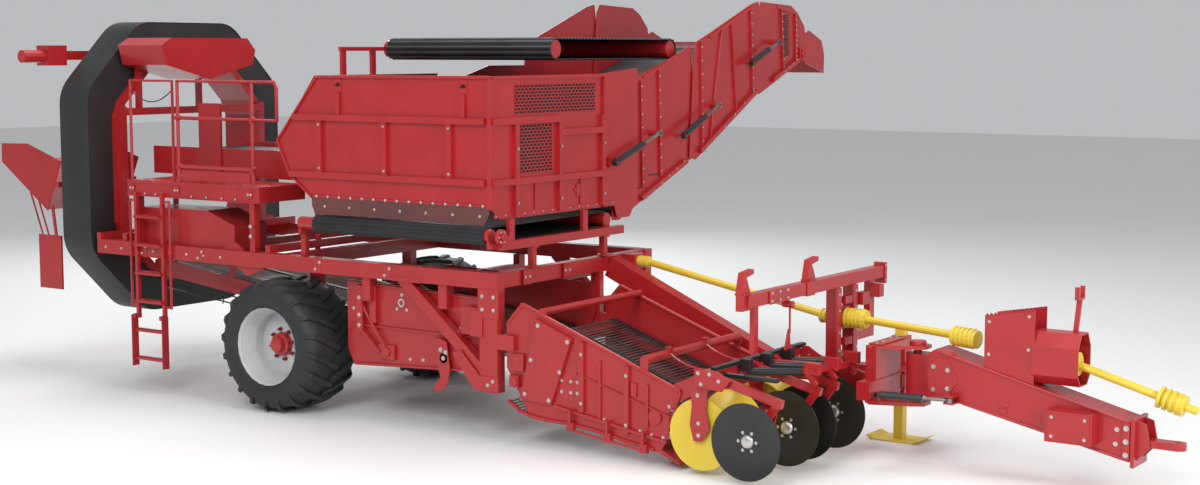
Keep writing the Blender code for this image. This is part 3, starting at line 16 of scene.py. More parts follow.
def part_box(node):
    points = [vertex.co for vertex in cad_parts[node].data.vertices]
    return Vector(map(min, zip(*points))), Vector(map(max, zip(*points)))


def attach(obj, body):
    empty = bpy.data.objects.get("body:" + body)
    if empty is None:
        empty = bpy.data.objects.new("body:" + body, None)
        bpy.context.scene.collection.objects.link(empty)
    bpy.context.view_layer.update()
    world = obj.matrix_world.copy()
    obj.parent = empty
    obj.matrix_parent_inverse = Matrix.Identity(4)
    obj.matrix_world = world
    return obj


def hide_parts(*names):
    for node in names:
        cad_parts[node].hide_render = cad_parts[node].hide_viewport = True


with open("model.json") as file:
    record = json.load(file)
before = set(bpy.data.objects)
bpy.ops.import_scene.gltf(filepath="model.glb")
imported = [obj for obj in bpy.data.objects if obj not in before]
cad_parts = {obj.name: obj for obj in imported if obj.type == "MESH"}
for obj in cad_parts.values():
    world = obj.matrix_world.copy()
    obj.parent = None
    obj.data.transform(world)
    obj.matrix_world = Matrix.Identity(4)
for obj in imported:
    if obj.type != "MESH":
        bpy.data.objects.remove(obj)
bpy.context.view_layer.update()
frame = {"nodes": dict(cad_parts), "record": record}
tyre_low, tyre_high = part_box("tyre_right")
DATUM = Vector(((tyre_low.x + tyre_high.x) / 2, tyre_low.y, 0))


def at(x, y, z):
    return DATUM + Vector((x, y, z))


def machine_box(node):
    """A CAD node's lowest and highest corners in machine coordinates."""
    low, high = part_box(node)
    return low - DATUM, high - DATUM


# ------------------------------------------------------------------ camera, lights, floor
CAMERA_PLACE = (12.788, -12.718, 3.60)
CAMERA_AZIMUTH, CAMERA_DOWN = 34.5, 6.06
LENS, SENSOR = 54.15, 36.0


def make_camera():
    camera = bpy.data.cameras.new("camera")
    camera.lens, camera.sensor_width, camera.clip_end = LENS, SENSOR, 200
    holder = bpy.data.objects.new("camera", camera)
    holder.location = at(*CAMERA_PLACE)
    holder.rotation_euler = (math.radians(90 - CAMERA_DOWN), 0, math.radians(CAMERA_AZIMUTH))
    bpy.context.scene.collection.objects.link(holder)
    bpy.context.scene.camera = holder


def area_light(name, place, target, size, watts):
    lamp = bpy.data.lights.new(name, "AREA")
    lamp.shape, lamp.size, lamp.energy = "SQUARE", size, watts
    holder = bpy.data.objects.new(name, lamp)
    holder.location = at(*place)
    holder.rotation_euler = (at(*target) - at(*place)).to_track_quat("-Z", "Y").to_euler()
    bpy.context.scene.collection.objects.link(holder)


def make_studio():
    scene = bpy.context.scene
    scene.view_settings.view_transform = "Standard"
    world = bpy.data.worlds.new("studio")
    scene.world = world
    world.use_nodes = True
    background = world.node_tree.nodes["Background"]
    background.inputs["Color"].default_value = (0.90, 0.92, 0.95, 1)
    background.inputs["Strength"].default_value = 0.55
    area_light("key", (6, -13, 11), (1.5, 1, 1.5), 7, 1500)
    area_light("front", (16, -2, 6), (3, 1.5, 1.5), 6, 900)
    area_light("top", (0, 3, 13), (1, 1.5, 1), 8, 900)
    area_light("back", (-9, 12, 8), (0, 1.5, 1.5), 7, 700)
    bpy.ops.mesh.primitive_plane_add(size=120, location=at(2, 2, 0))
    floor = bpy.context.object
    floor.name = "floor"
    floor.data.materials.append(plain("floor", (0.80, 0.80, 0.79), 0.9))


# ------------------------------------------------------------------ materials
def shader_of(material):
    return material.node_tree.nodes["Principled BSDF"]


def plain(name, colour, roughness, metallic=0.0):
    material = bpy.data.materials.new(name)
    material.use_nodes = True
    shader = shader_of(material)
    shader.inputs["Base Color"].default_value = (*colour, 1)
    shader.inputs["Roughness"].default_value = roughness
    shader.inputs["Metallic"].default_value = metallic
    return material


def finish(name, colour, other, roughness, metallic=0.0, patch=2.5, grain=60.0, bump=0.12,
           spread=0.10, coat=0.0):
    """Paint, rubber or steel: two shades in soft patches, uneven gloss and a fine grain."""
    material = plain(name, colour, roughness, metallic)
    nodes, links = material.node_tree.nodes, material.node_tree.links
    shader = shader_of(material)
    shader.inputs["Coat Weight"].default_value = coat
    place = nodes.new("ShaderNodeTexCoord")

    def noise(scale, detail):
        made = nodes.new("ShaderNodeTexNoise")
        made.inputs["Scale"].default_value = scale
        made.inputs["Detail"].default_value = detail
        links.new(place.outputs["Object"], made.inputs["Vector"])
        return made

    soft, fine = noise(patch, 5), noise(grain, 3)
    shades = nodes.new("ShaderNodeValToRGB")
    shades.color_ramp.elements[0].position, shades.color_ramp.elements[1].position = 0.35, 0.68
    shades.color_ramp.elements[0].color = (*other, 1)
    shades.color_ramp.elements[1].color = (*colour, 1)
    links.new(soft.outputs["Fac"], shades.inputs["Fac"])
    links.new(shades.outputs["Color"], shader.inputs["Base Color"])
    gloss = nodes.new("ShaderNodeMapRange")
    gloss.inputs["To Min"].default_value = roughness - spread
    gloss.inputs["To Max"].default_value = roughness + spread
    links.new(soft.outputs["Fac"], gloss.inputs["Value"])
    links.new(gloss.outputs["Result"], shader.inputs["Roughness"])
    rise = nodes.new("ShaderNodeBump")
    rise.inputs["Strength"].default_value = bump
    rise.inputs["Distance"].default_value = 0.004
    links.new(fine.outputs["Fac"], rise.inputs["Height"])
    links.new(rise.outputs["Normal"], shader.inputs["Normal"])
    return material


RED = finish("red_paint", (0.40, 0.014, 0.018), (0.36, 0.011, 0.014), 0.36, coat=0.25)
YELLOW = finish("yellow_paint", (0.72, 0.53, 0.05), (0.68, 0.49, 0.04), 0.42)
BLACK = finish("black_paint", (0.018, 0.018, 0.020), (0.012, 0.012, 0.013), 0.35)
BELT = finish("belt_rubber", (0.020, 0.021, 0.023), (0.012, 0.012, 0.013), 0.50, grain=25, bump=0.3)
TYRE = finish("tyre_rubber", (0.022, 0.022, 0.023), (0.014, 0.014, 0.015), 0.58, grain=90, bump=0.35)
STEEL = finish("bare_steel", (0.33, 0.32, 0.31), (0.20, 0.17, 0.15), 0.36, 0.9, patch=6, bump=0.2)
ZINC = finish("zinc_bolts", (0.62, 0.61, 0.58), (0.50, 0.49, 0.46), 0.34, 0.85, patch=30)
RIM = finish("rim_paint", (0.56, 0.57, 0.58), (0.48, 0.49, 0.50), 0.42)
FLAP = finish("skirt_rubber", (0.16, 0.035, 0.035), (0.10, 0.030, 0.030), 0.55, patch=1.2)
# painted shade: a near-black sheet that stands for the shade seen through the grilles and the lifting holes
PAINTED_SHADE = plain("shadow_behind_grille", (0.012, 0.008, 0.008), 0.9)
SLOT_MATERIALS = {"red": RED, "yellow": YELLOW, "black": BLACK, "rubber": BELT, "tyre": TYRE, "steel": STEEL,
                  "rim_grey": RIM}


def paint_cad():
    """Each carried-over CAD node takes the finish of its slot in the record."""
    for entry in frame["record"]["subparts"]:
        node = frame["nodes"][entry["node"]]
        node.data.materials.clear()
        node.data.materials.append(SLOT_MATERIALS[entry["material_slot"]])


# ------------------------------------------------------------------ mesh helpers
class Shape:
    """A mesh in the making, in machine coordinates."""

    def __init__(self):
        self.mesh = bmesh.new()

    def box(self, x, y, z):
        size = Vector((x[1] - x[0], y[1] - y[0], z[1] - z[0]))
        middle = Vector(((x[0] + x[1]) / 2, (y[0] + y[1]) / 2, (z[0] + z[1]) / 2))
        place = Matrix.Translation(middle) @ Matrix.Diagonal((*size, 1))
        bmesh.ops.create_cube(self.mesh, size=1, matrix=place)
        return self

    def bar(self, start, end, width, height, up=(0, 0, 1)):
        place, length = along(start, end, up)
        bmesh.ops.create_cube(self.mesh, size=1, matrix=place @ Matrix.Diagonal((length, width, height, 1)))
        return self

    def rod(self, start, end, radius, sides=12, tip=None):
        up = (1, 0, 0) if abs((Vector(end) - Vector(start)).normalized().z) > 0.9 else (0, 0, 1)
        place, length = along(start, end, up)
        bmesh.ops.create_cone(self.mesh, cap_ends=True, segments=sides, radius1=radius,
                              radius2=radius if tip is None else tip, depth=length,
                              matrix=place @ Matrix.Rotation(math.pi / 2, 4, "Y"))
        return self

    def lathe(self, profile, centre, axis="Y", steps=32):
        """An open or closed profile of (radius, along) turned about an axis."""
        turn = {"Y": Matrix.Rotation(-math.pi / 2, 4, "X"), "X": Matrix.Rotation(math.pi / 2, 4, "Y")}[axis]
        self.turned(profile, Matrix.Translation(centre) @ turn, steps)
        return self

    def turned(self, profile, place, steps):
        rings = []
        for step in range(steps):
            angle = 2 * math.pi * step / steps
            rings.append([self.mesh.verts.new(place @ Vector((r * math.cos(angle), r * math.sin(angle), h)))
                          for r, h in profile])
        for ring, after in zip(rings, rings[1:] + rings[:1]):
            for low, high, far, near in zip(ring, ring[1:], after[1:], after):
                self.mesh.faces.new((low, near, far, high))

    def prism(self, outline, depth):
        """A flat outline of 3-D points pushed along a vector."""
        base = [self.mesh.verts.new(point) for point in outline]
        top = [self.mesh.verts.new(Vector(point) + Vector(depth)) for point in outline]
        self.mesh.faces.new(base[::-1])
        self.mesh.faces.new(top)
        for index, point in enumerate(base):
            after = (index + 1) % len(base)
            self.mesh.faces.new((point, base[after], top[after], top[index]))
        return self

    def loop(self, stations):
        """A closed ring lofted through stations, each a list of corner points."""
        rings = [[self.mesh.verts.new(point) for point in station] for station in stations]
        for ring, after in zip(rings, rings[1:] + rings[:1]):
            for index in range(len(ring)):
                side = (index + 1) % len(ring)
                self.mesh.faces.new((ring[index], ring[side], after[side], after[index]))
        return self

    def loft(self, stations):
        """A closed body lofted through stations, with its two ends capped."""
        rings = [[self.mesh.verts.new(point) for point in station] for station in stations]
        for ring, after in zip(rings, rings[1:]):
            for index in range(len(ring)):
                side = (index + 1) % len(ring)
                self.mesh.faces.new((ring[index], ring[side], after[side], after[index]))
        self.mesh.faces.new(rings[0][::-1])
        self.mesh.faces.new(rings[-1])
        return self

    def bolts(self, places, normal, radius=0.013, height=0.010):
        """Hexagon heads on washers, standing on a face."""
        normal = Vector(normal)
        for place in places:
            place = Vector(place)
            self.rod(place, place + normal * 0.003, radius * 1.45, 12)
            self.rod(place + normal * 0.002, place + normal * height, radius, 6)
        return self

    def side_bolts(self, y, places, radius=0.013, height=0.010):
        """Bolts at X, Z places on a face across Y, their heads to the right."""
        return self.bolts([(x, y, z) for x, z in places], (0, -1, 0), radius, height)

    def plate(self, outline, y, thickness):
        """An outline in X and Z, standing across Y."""
        return self.prism([(x, y, z) for x, z in outline], (0, thickness, 0))


def along(start, end, up):
    """A matrix at the middle of two points, its X axis along them, and their distance."""
    start, end = Vector(start), Vector(end)
    ahead = (end - start).normalized()
    side = Vector(up).cross(ahead).normalized()
    turn = Matrix((ahead, side, ahead.cross(side))).transposed().to_4x4()
    return Matrix.Translation((start + end) / 2) @ turn, (end - start).length


def row(start, end, count):
    """Evenly spaced points from start to end."""
    start, end = Vector(start), Vector(end)
    return [start.lerp(end, step / (count - 1)) for step in range(count)]


def row_of(start, end, count):
    """Evenly spaced numbers from start to end."""
    return [start + (end - start) * step / (count - 1) for step in range(count)]


def piece(name, shape, material, body="frame", replaces=(), bevel=0.0, smooth=False):
    """Turn a shape into a piece that rides on a body."""
    bmesh.ops.recalc_face_normals(shape.mesh, faces=shape.mesh.faces)
    bmesh.ops.translate(shape.mesh, vec=DATUM, verts=shape.mesh.verts)
    mesh = bpy.data.meshes.new(name)
    shape.mesh.to_mesh(mesh)
    shape.mesh.free()
    if smooth:
        mesh.polygons.foreach_set("use_smooth", [True] * len(mesh.polygons))
        mesh.set_sharp_from_angle(angle=math.radians(35))
    made = bpy.data.objects.new(name, mesh)
    bpy.context.scene.collection.objects.link(made)
    mesh.materials.append(material)
    if bevel:
        rounding = made.modifiers.new("edges", "BEVEL")
        rounding.width, rounding.segments, rounding.limit_method = bevel, 2, "ANGLE"
    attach(made, body)
    if replaces:
        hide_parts(*replaces)
    return made


# ------------------------------------------------------------------ wheels
LUGS = 20
LUG_HEIGHT = 0.030
TREAD = 0.668                       # radius over the lugs
BEAD = 0.378                        # the tyre's inner edge
STUDS, STUD_CIRCLE = 8, 0.152
# turn, place across and drop of each station of a lug
LUG_PATH = [(0.00, -0.03, 0.0), (0.09, 0.10, 0.0), (0.19, 0.22, -0.006), (0.25, 0.31, -0.022),
            (0.275, 0.345, -0.085)]


def make_wheels():
    for side, outer in (("right", -1), ("left", 1)):
        low, high = machine_box(f"tyre_{side}")
        centre = (low + high) / 2
        half = (high.y - low.y) / 2
        base = TREAD - LUG_HEIGHT
        profile = [(BEAD, -0.84), (BEAD + 0.012, -0.90), (BEAD + 0.03, -0.93), (BEAD + 0.07, -0.985),
                   (BEAD + 0.13, -0.995), (base - 0.10, -0.985), (base - 0.05, -0.94),
                   (base - 0.015, -0.82), (base - 0.004, -0.5), (base, 0.0)]
        profile = [(r, share * half) for r, share in profile]
        profile += [(r, -place) for r, place in reversed(profile[:-1])]
        shape = Shape().lathe(profile, centre, "Y", 72)
        for number in range(LUGS * 2):
            flank = 1 if number % 2 else -1
            start = math.pi * number / LUGS
            stations = []
            for turn, across, drop in LUG_PATH:
                angle = start + turn
                width = 0.034 if across < 0.3 else 0.028
                corners = []
                for radius, share in ((base - 0.03, -1), (base - 0.03, 1), (TREAD, 0.8), (TREAD, -0.8)):
                    r = radius + (drop if radius == TREAD else drop * 1.4)
                    lean = angle + share * width / r
                    corners.append(centre + Vector((r * math.cos(lean), flank * across, r * math.sin(lean))))
                stations.append(corners)
            shape.loft(stations)
        piece(f"tyre_tread_{side}", shape, TYRE, f"wheel_{side}", (f"tyre_{side}",), smooth=True)

        face = centre.y + outer * 0.075
        hub = Shape()
        place = Matrix.Translation((centre.x, face, centre.z))
        hub.turned([(0.0, 0.135), (0.045, 0.13), (0.075, 0.115), (0.085, 0.07), (0.115, 0.06), (0.12, 0.0)],
                   place @ Matrix.Rotation(-outer * math.pi / 2, 4, "X"), 24)
        piece(f"hub_cap_{side}", hub, RED, f"wheel_{side}", smooth=True)
        studs = Shape()
        for number in range(STUDS):
            angle = 2 * math.pi * number / STUDS + 0.2
            x, z = centre.x + STUD_CIRCLE * math.cos(angle), centre.z + STUD_CIRCLE * math.sin(angle)
            studs.rod((x, face - outer * 0.002, z), (x, face + outer * 0.03, z), 0.020, 6)
            studs.rod((x, face, z), (x, face + outer * 0.05, z), 0.011, 8)
        stud_red = plain(f"stud_red_{side}", (0.20, 0.010, 0.012), 0.4)
        piece(f"wheel_studs_{side}", studs, stud_red, f"wheel_{side}")


# ------------------------------------------------------------------ belts and webs
def track(first, last, radius, pitch):
    """Points round two rollers at an even pitch, each with its outward direction."""
    first, last = Vector(first), Vector(last)
    ahead = (last - first).normalized()
    normal = Vector((-ahead.y, ahead.x))
    straight, turn = (last - first).length, math.pi * radius
    count = max(8, round((2 * straight + 2 * turn) / pitch))
    stations = []
    for step in range(count):
        place = (2 * straight + 2 * turn) * step / count
        if place < straight:
            out, point = normal, first + ahead * place + normal * radius
        elif place < straight + turn:
            angle = (place - straight) / radius
            out = normal * math.cos(angle) + ahead * math.sin(angle)
            point = last + out * radius
        elif place < 2 * straight + turn:
            out, point = -normal, last - ahead * (place - straight - turn) - normal * radius
        else:
            angle = (place - 2 * straight - turn) / radius
            out = -normal * math.cos(angle) - ahead * math.sin(angle)
            point = first + out * radius
        stations.append((point, out))
    return stations


def rollers_of(node, radius, plane, falling=False):
    """Roller centres of a belt node, in its plane, from the node's box."""
    low, high = machine_box(node)
    side = 0 if plane == "xz" else 1
    a, b = (high.z - radius, low.z + radius) if falling else (low.z + radius, high.z - radius)
    return (low[side] + radius, a), (high[side] - radius, b), low, high


def spot(plane, point, across):
    """A point of a belt's plane, at a place across it."""
    return (point.x, across, point.y) if plane == "xz" else (across, point.x, point.y)


def rod_web(name, node, body, radius=0.09, pitch=0.046, thick=0.0065):
    """An endless web of steel rods, carried by a rubber belt at each side and one in the middle."""
    first, last, low, high = rollers_of(node, radius, "xz", falling=True)
    rods = Shape()
    for point, out in track(first, last, radius - 0.012, pitch):
        rods.rod((point.x, low.y + 0.002, point.y), (point.x, high.y - 0.002, point.y), thick, 6)
    piece(f"{name}_rods", rods, STEEL, body, (node,), smooth=True)
    belts = Shape()
    for y in (low.y, (low.y + high.y) / 2 - 0.03, high.y - 0.06):
        stations = []
        for point, out in track(first, last, radius, 0.035):
            inner = point - out * 0.022
            stations.append([spot("xz", point, y), spot("xz", point, y + 0.06), spot("xz", inner, y + 0.06),
                             spot("xz", inner, y)])
        belts.loop(stations)
    piece(f"{name}_belts", belts, BELT, body)


def fluted_belt(name, node, body, radius, thickness, plane="yz", pitch=0.036, height=0.012):
    """An endless rubber belt with ribs across it."""
    first, last, low, high = rollers_of(node, radius, plane)
    ends = (low.x, high.x) if plane == "yz" else (low.y, high.y)
    stations = []
    for number, (point, out) in enumerate(track(first, last, radius - height, pitch / 4)):
        outer = point + out * (height if number % 4 < 2 else 0.0)
        inner = point - out * (thickness - height)
        stations.append([spot(plane, outer, ends[0]), spot(plane, outer, ends[1]),
                         spot(plane, inner, ends[1]), spot(plane, inner, ends[0])])
    piece(name, Shape().loop(stations), BELT, body, (node,))


def make_belts():
    rod_web("main_web", "main_web", "frame")
    rod_web("rear_web", "rear_web", "frame", pitch=0.055)
    rod_web("digger_web", "digger_web", "digger")
    fluted_belt("bunker_floor", "bunker_belt", "frame", 0.085, 0.018)
    fluted_belt("filling_belt_ribs", "filling_belt", "frame", 0.11, 0.018, pitch=0.055)
    fluted_belt("sorting_belt_ribs", "sorting_belt", "frame", 0.05, 0.011, "xz", 0.05, 0.006)
    for section in ("lower", "middle", "head"):
        fluted_belt(f"elevator_ribs_{section}", f"elevator_belt_{section}", f"elevator_{section}",
                    0.06, 0.014, pitch=0.08, height=0.008)


# ------------------------------------------------------------------ ring elevator
RING_WALL, RING_CHAMFER = 0.33, 0.74
HALF_CORNER = math.tan(math.radians(22.5))      # half of an octagon's bend


def rounded_octagon(half_width, half_height, chamfer, round_by, steps=6):
    """Outline in Y and Z of an octagon with its corners rounded to arcs."""
    a, b, c = half_width, half_height, chamfer
    corners = [Vector(p) for p in ((a, b - c), (a - c, b), (c - a, b), (-a, b - c),
                                   (-a, c - b), (c - a, -b), (a - c, -b), (a, c - b))]
    points = []
    for index, corner in enumerate(corners):
        before = (corners[index - 1] - corner).normalized()
        after = (corners[(index + 1) % 8] - corner).normalized()
        reach = round_by * HALF_CORNER
        for step in range(steps + 1):
            t = step / steps
            points.append(corner + before * reach * (1 - t) ** 2 + after * reach * t ** 2)
    return points


def make_ring():
    low, high = machine_box("ring_elevator")
    middle = (low + high) / 2
    half = (high - low) / 2
    outer = rounded_octagon(half.y, half.z, RING_CHAMFER, 0.42)
    inner = rounded_octagon(half.y - RING_WALL, half.z - RING_WALL,
                            RING_CHAMFER - RING_WALL * HALF_CORNER, 0.30)
    stations = []
    for far, near in zip(outer, inner):
        station = []
        for share, x in ((1.0, low.x + 0.02), (1.0, high.x - 0.02), (0.985, high.x),
                         (0.0, high.x), (0.0, low.x), (0.985, low.x)):
            point = near.lerp(far, share)
            station.append((x, middle.y + point.x, middle.z + point.y))
        stations.append(station)
    piece("ring_casing", Shape().loop(stations), BELT, "frame", ("ring_elevator",), smooth=True)
    ribs = Shape()
    for x in (low.x + 0.012, high.x - 0.012):
        stations = []
        for far, near in zip(outer, inner):
            station = []
            for share, shift in ((0.995, -0.010), (0.995, 0.010), (0.965, 0.010), (0.965, -0.010)):
                point = near.lerp(far, share)
                station.append((x + shift * 1.6, middle.y + point.x, middle.z + point.y))
            stations.append(station)
        ribs.loop(stations)
    piece("ring_edge_beads", ribs, BELT, "frame", smooth=True)
    pockets = Shape()
    for near in inner[::2]:
        inward = -near.normalized()
        tip = near + inward * 0.055
        y, z = middle.y + (near.x + tip.x) / 2, middle.z + (near.y + tip.y) / 2
        pockets.bar((low.x + 0.03, y, z), (high.x - 0.12, y, z), 0.012, 0.05, (0, inward.x, inward.y))
    piece("ring_pocket_bars", pockets, BLACK, "frame")


# ------------------------------------------------------------------ entry chain
CHAIN_ROUTE = [
    (-2.114, 0.239, 3.1800), (-2.072, 0.239, 3.1508), (-2.030, 0.239, 3.1261), (-1.988, 0.239, 3.1059),
    (-1.946, 0.239, 3.0902), (-1.904, 0.239, 3.0790), (-1.862, 0.239, 3.0722), (-1.820, 0.239, 3.0700),
    (-1.778, 0.239, 3.0722), (-1.736, 0.239, 3.0790), (-1.694, 0.239, 3.0902), (-1.652, 0.239, 3.1059),
    (-1.610, 0.239, 3.1261), (-1.568, 0.239, 3.1508), (-1.526, 0.239, 3.1800),
]
CHAIN_LENGTH, CHAIN_THICK = 0.639, 0.012


def make_chain():
    """The chain across the entry, drawn as a smooth tube."""
    curve = bpy.data.curves.new("entry_chain_links", "CURVE")
    curve.dimensions = "3D"
    curve.bevel_depth = CHAIN_THICK / 2
    curve.bevel_resolution = 3
    curve.use_fill_caps = True
    spline = curve.splines.new("POLY")
    spline.points.add(len(CHAIN_ROUTE) - 1)
    for point, place in zip(spline.points, CHAIN_ROUTE):
        point.co = (*at(*place), 1)
    made = bpy.data.objects.new("entry_chain_links", curve)
    bpy.context.scene.collection.objects.link(made)
    curve.materials.append(BLACK)
    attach(made, "frame")
    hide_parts("entry_chain")


# ------------------------------------------------------------------ bunker details
SIDE = 0.20                 # outer face of the bunker's right wall and of the side beam
FRONT = 2.708               # outer face of the bunker's front wall


def perforated(name, normal, across, up, pitch=(0.060, 0.030), depth=0.004):
    """A dark field of painted shade behind a staggered red lattice, on the front wall."""
    field = Shape().box((normal - 0.001, normal + 0.001), across, up)
    piece(f"{name}_dark", field, PAINTED_SHADE)
    lattice = Shape()
    rows = round((up[1] - up[0]) / pitch[1])
    for number in range(rows + 1):
        z = up[0] + (up[1] - up[0]) * number / rows
        lattice.box((normal, normal + depth), across, (z - 0.0045, z + 0.0045))
        if number == rows:
            break
        y = across[0] + (pitch[0] / 2 if number % 2 else 0.0)
        while y <= across[1]:
            lattice.box((normal, normal + depth * 0.8), (y - 0.006, y + 0.006), (z, z + pitch[1]))
            y += pitch[0]
    piece(f"{name}_lattice", lattice, RED)


def make_bunker_details():
    skirt = Shape().plate([(0.49, 2.20), (2.69, 2.20), (2.69, 2.12), (2.63, 2.015), (0.53, 2.015),
                           (0.49, 2.10)], SIDE - 0.004, 0.0035)
    piece("bunker_skirt", skirt, FLAP)
    folds = Shape()
    folds.bar((0.585, SIDE - 0.012, 3.352), (2.70, SIDE - 0.012, 3.362), 0.030, 0.026)
    folds.bar((0.585, SIDE - 0.012, 3.352), (0.045, SIDE - 0.012, 2.722), 0.022, 0.020)
    folds.bar((0.045, SIDE - 0.012, 2.722), (0.21, SIDE - 0.012, 2.385), 0.022, 0.020)
    folds.bar((0.21, SIDE - 0.008, 2.385), (0.50, SIDE - 0.008, 2.17), 0.016, 0.020)
    folds.box((2.665, FRONT + 0.004), (SIDE - 0.016, SIDE + 0.03), (2.16, 3.37))
    folds.box((0.50, 2.68), (SIDE - 0.010, SIDE + 0.002), (2.180, 2.200))
    for x in (0.86, 2.40):
        folds.box((x - 0.022, x + 0.022), (SIDE - 0.030, SIDE), (2.99, 3.20))
        folds.box((x - 0.040, x + 0.040), (SIDE - 0.010, SIDE), (3.20, 3.34))
    piece("bunker_folds", folds, RED, bevel=0.004)
    # the lifting holes are dark half discs of painted shade, standing for the shade seen through them
    holes = Shape()
    for x in (0.86, 2.40):
        holes.prism([(x + 0.034 * math.cos(a), SIDE - 0.0125, 3.262 + 0.034 * math.sin(a))
                     for a in [math.pi * n / 10 for n in range(11)]], (0, 0.003, 0))
    piece("lifting_holes", holes, PAINTED_SHADE)
    heads = Shape()
    heads.bolts(row((0.56, SIDE - 0.010, 2.190), (2.62, SIDE - 0.010, 2.190), 15), (0, -1, 0), 0.010, 0.008)
    heads.bolts(row((0.66, SIDE - 0.004, 2.095), (2.58, SIDE - 0.004, 2.095), 7), (0, -1, 0), 0.010, 0.008)
    for x in (0.62, 1.45, 2.24):
        heads.bolts([(x, SIDE - 0.036, 2.47), (x, SIDE - 0.036, 2.89)], (0, -1, 0), 0.009, 0.007)
    heads.bolts(row((FRONT + 0.004, 0.26, 2.095), (FRONT + 0.004, 2.16, 2.095), 14), (1, 0, 0), 0.009, 0.008)
    heads.bolts([(FRONT + 0.044, y, z) for y in (0.56, 1.25, 1.97) for z in (2.20, 2.70)],
                (1, 0, 0), 0.010, 0.008)
    piece("bunker_bolts", heads, ZINC)
    cap_y, cap_z = 0.235, 1.915
    cap = Shape().rod((2.775, cap_y, cap_z), (2.81, cap_y, cap_z), 0.070, 24)
    cap.rod((2.80, cap_y, cap_z), (2.845, cap_y, cap_z), 0.032, 16)
    cap.box((2.768, 2.790), (cap_y - 0.02, cap_y + 0.14), (cap_z - 0.055, cap_z - 0.005))
    piece("belt_roller_cap", cap, RED, bevel=0.003)
    studs = Shape().bolts([(2.81, cap_y + 0.050 * math.cos(a), cap_z + 0.050 * math.sin(a))
                           for a in [math.pi / 3 * n for n in range(6)]], (1, 0, 0), 0.008, 0.008)
    piece("belt_roller_bolts", studs, ZINC)
    perforated("upper_grille", FRONT + 0.001, (0.56, 1.86), (3.02, 3.29))
    perforated("lower_grille", FRONT + 0.001, (0.60, 1.14), (2.47, 2.92))
    wall = Shape()
    wall.box((FRONT - 0.001, FRONT + 0.022), (0.21, 1.97), (3.345, 3.372))
    wall.box((FRONT - 0.001, FRONT + 0.008), (0.24, 2.20), (2.075, 2.115))
    wall.box((FRONT, FRONT + 0.012), (1.50, 1.62), (2.245, 2.275))
    wall.box((FRONT, FRONT + 0.014), (1.535, 1.585), (2.20, 2.32))
    for y in (0.86, 1.25, 1.60):
        wall.box((FRONT + 0.001, FRONT + 0.016), (y - 0.006, y + 0.006), (2.12, 2.40))
    wall.box((FRONT + 0.001, FRONT + 0.030), (1.985, 2.0), (2.06, 3.36))
    piece("front_wall_ribs", wall, RED, bevel=0.003)
    foot = Shape()
    for y in (0.80, 1.98):
        foot.box((2.690, 2.790), (y - 0.075, y + 0.075), (1.583, 1.597))
        foot.box((2.700, 2.775), (y - 0.045, y + 0.045), (1.765, 1.78))
    piece("base_post_plates", foot, RED, bevel=0.002)
    bolts = Shape().bolts([(2.712, y + s, 1.597) for y in (0.80, 1.98) for s in (-0.058, 0.058)],
                          (0, 0, 1), 0.011, 0.010)
    piece("base_post_bolts", bolts, ZINC)


# ------------------------------------------------------------------ elevator details
# section: outer face of its front wall, then its ribs, lower chord and rim in Y and Z
ELEVATOR = {
    "lower": (2.668, [((2.76, 2.20), (2.72, 3.30)), ((3.10, 2.30), (3.06, 3.40))],
              ((2.72, 2.075), (3.60, 2.42)), ((2.78, 3.345), (3.26, 3.495))),
    "middle": (2.688, [((3.90, 2.58), (3.86, 3.70)), ((4.06, 2.66), (4.30, 3.84)),
                       ((4.62, 2.92), (4.50, 3.92)), ((4.98, 3.12), (4.92, 4.08))],
               ((3.84, 2.51), (5.04, 3.13)), ((4.05, 3.755), (4.94, 4.085))),
    "head": (2.668, [((5.72, 3.36), (5.66, 4.08)), ((6.02, 3.48), (6.00, 4.02))],
             ((5.46, 3.25), (6.08, 3.48)), ((5.58, 4.105), (6.02, 4.04))),
}


def make_elevator_details():
    for section, (face, ribs, chord, rim) in ELEVATOR.items():
        body = f"elevator_{section}"
        shape = Shape()
        for (y0, z0), (y1, z1) in ribs:
            shape.bar((face + 0.010, y0, z0), (face + 0.010, y1, z1), 0.022, 0.030, (1, 0, 0))
        (y0, z0), (y1, z1) = chord
        shape.bar((face + 0.020, y0, z0 + 0.02), (face + 0.020, y1, z1 + 0.02), 0.050, 0.046, (1, 0, 0))
        (y0, z0), (y1, z1) = rim
        shape.bar((face + 0.008, y0, z0 - 0.01), (face + 0.008, y1, z1 - 0.01), 0.026, 0.020, (1, 0, 0))
        piece(f"{body}_ribs", shape, RED, body, bevel=0.003)
        bolts = Shape()
        for (y0, z0), (y1, z1) in ribs[:1] + ribs[-1:]:
            bolts.bolts([(face + 0.026, p.y, p.z) for p in row((0, y0, z0 + 0.06), (0, y1, z1 - 0.06), 8)],
                        (1, 0, 0), 0.008, 0.007)
        (y0, z0), (y1, z1) = chord
        bolts.bolts([(face + 0.042, p.y, p.z + 0.02) for p in row((0, y0 + 0.08, z0), (0, y1 - 0.08, z1), 6)],
                    (1, 0, 0), 0.008, 0.007)
        piece(f"{body}_bolts", bolts, ZINC, body)
    slats = Shape()
    for point in row((0, 5.80, 3.55), (0, 5.77, 4.00), 16):
        slats.bar((2.675, point.y - 0.065, point.z - 0.012), (2.675, point.y + 0.065, point.z + 0.012),
                  0.012, 0.014, (1, 0, 0))
    piece("head_slats", slats, BLACK, "elevator_head")
    motor = Shape().rod((2.66, 6.18, 3.56), (2.725, 6.18, 3.56), 0.060, 20)
    motor.box((2.66, 2.70), (6.10, 6.27), (3.49, 3.63)).box((2.70, 2.735), (6.15, 6.21), (3.53, 3.59))
    piece("head_motor", motor, RED, "elevator_head", bevel=0.004)
    guide = Shape()
    for y, z in ((2.44, 2.05), (2.72, 2.16), (3.00, 2.28)):
        guide.box((2.660, 2.676), (y - 0.10, y + 0.10), (z + 0.040, z + 0.052))
    piece("lower_chord_steps", guide, BLACK, "elevator_lower")


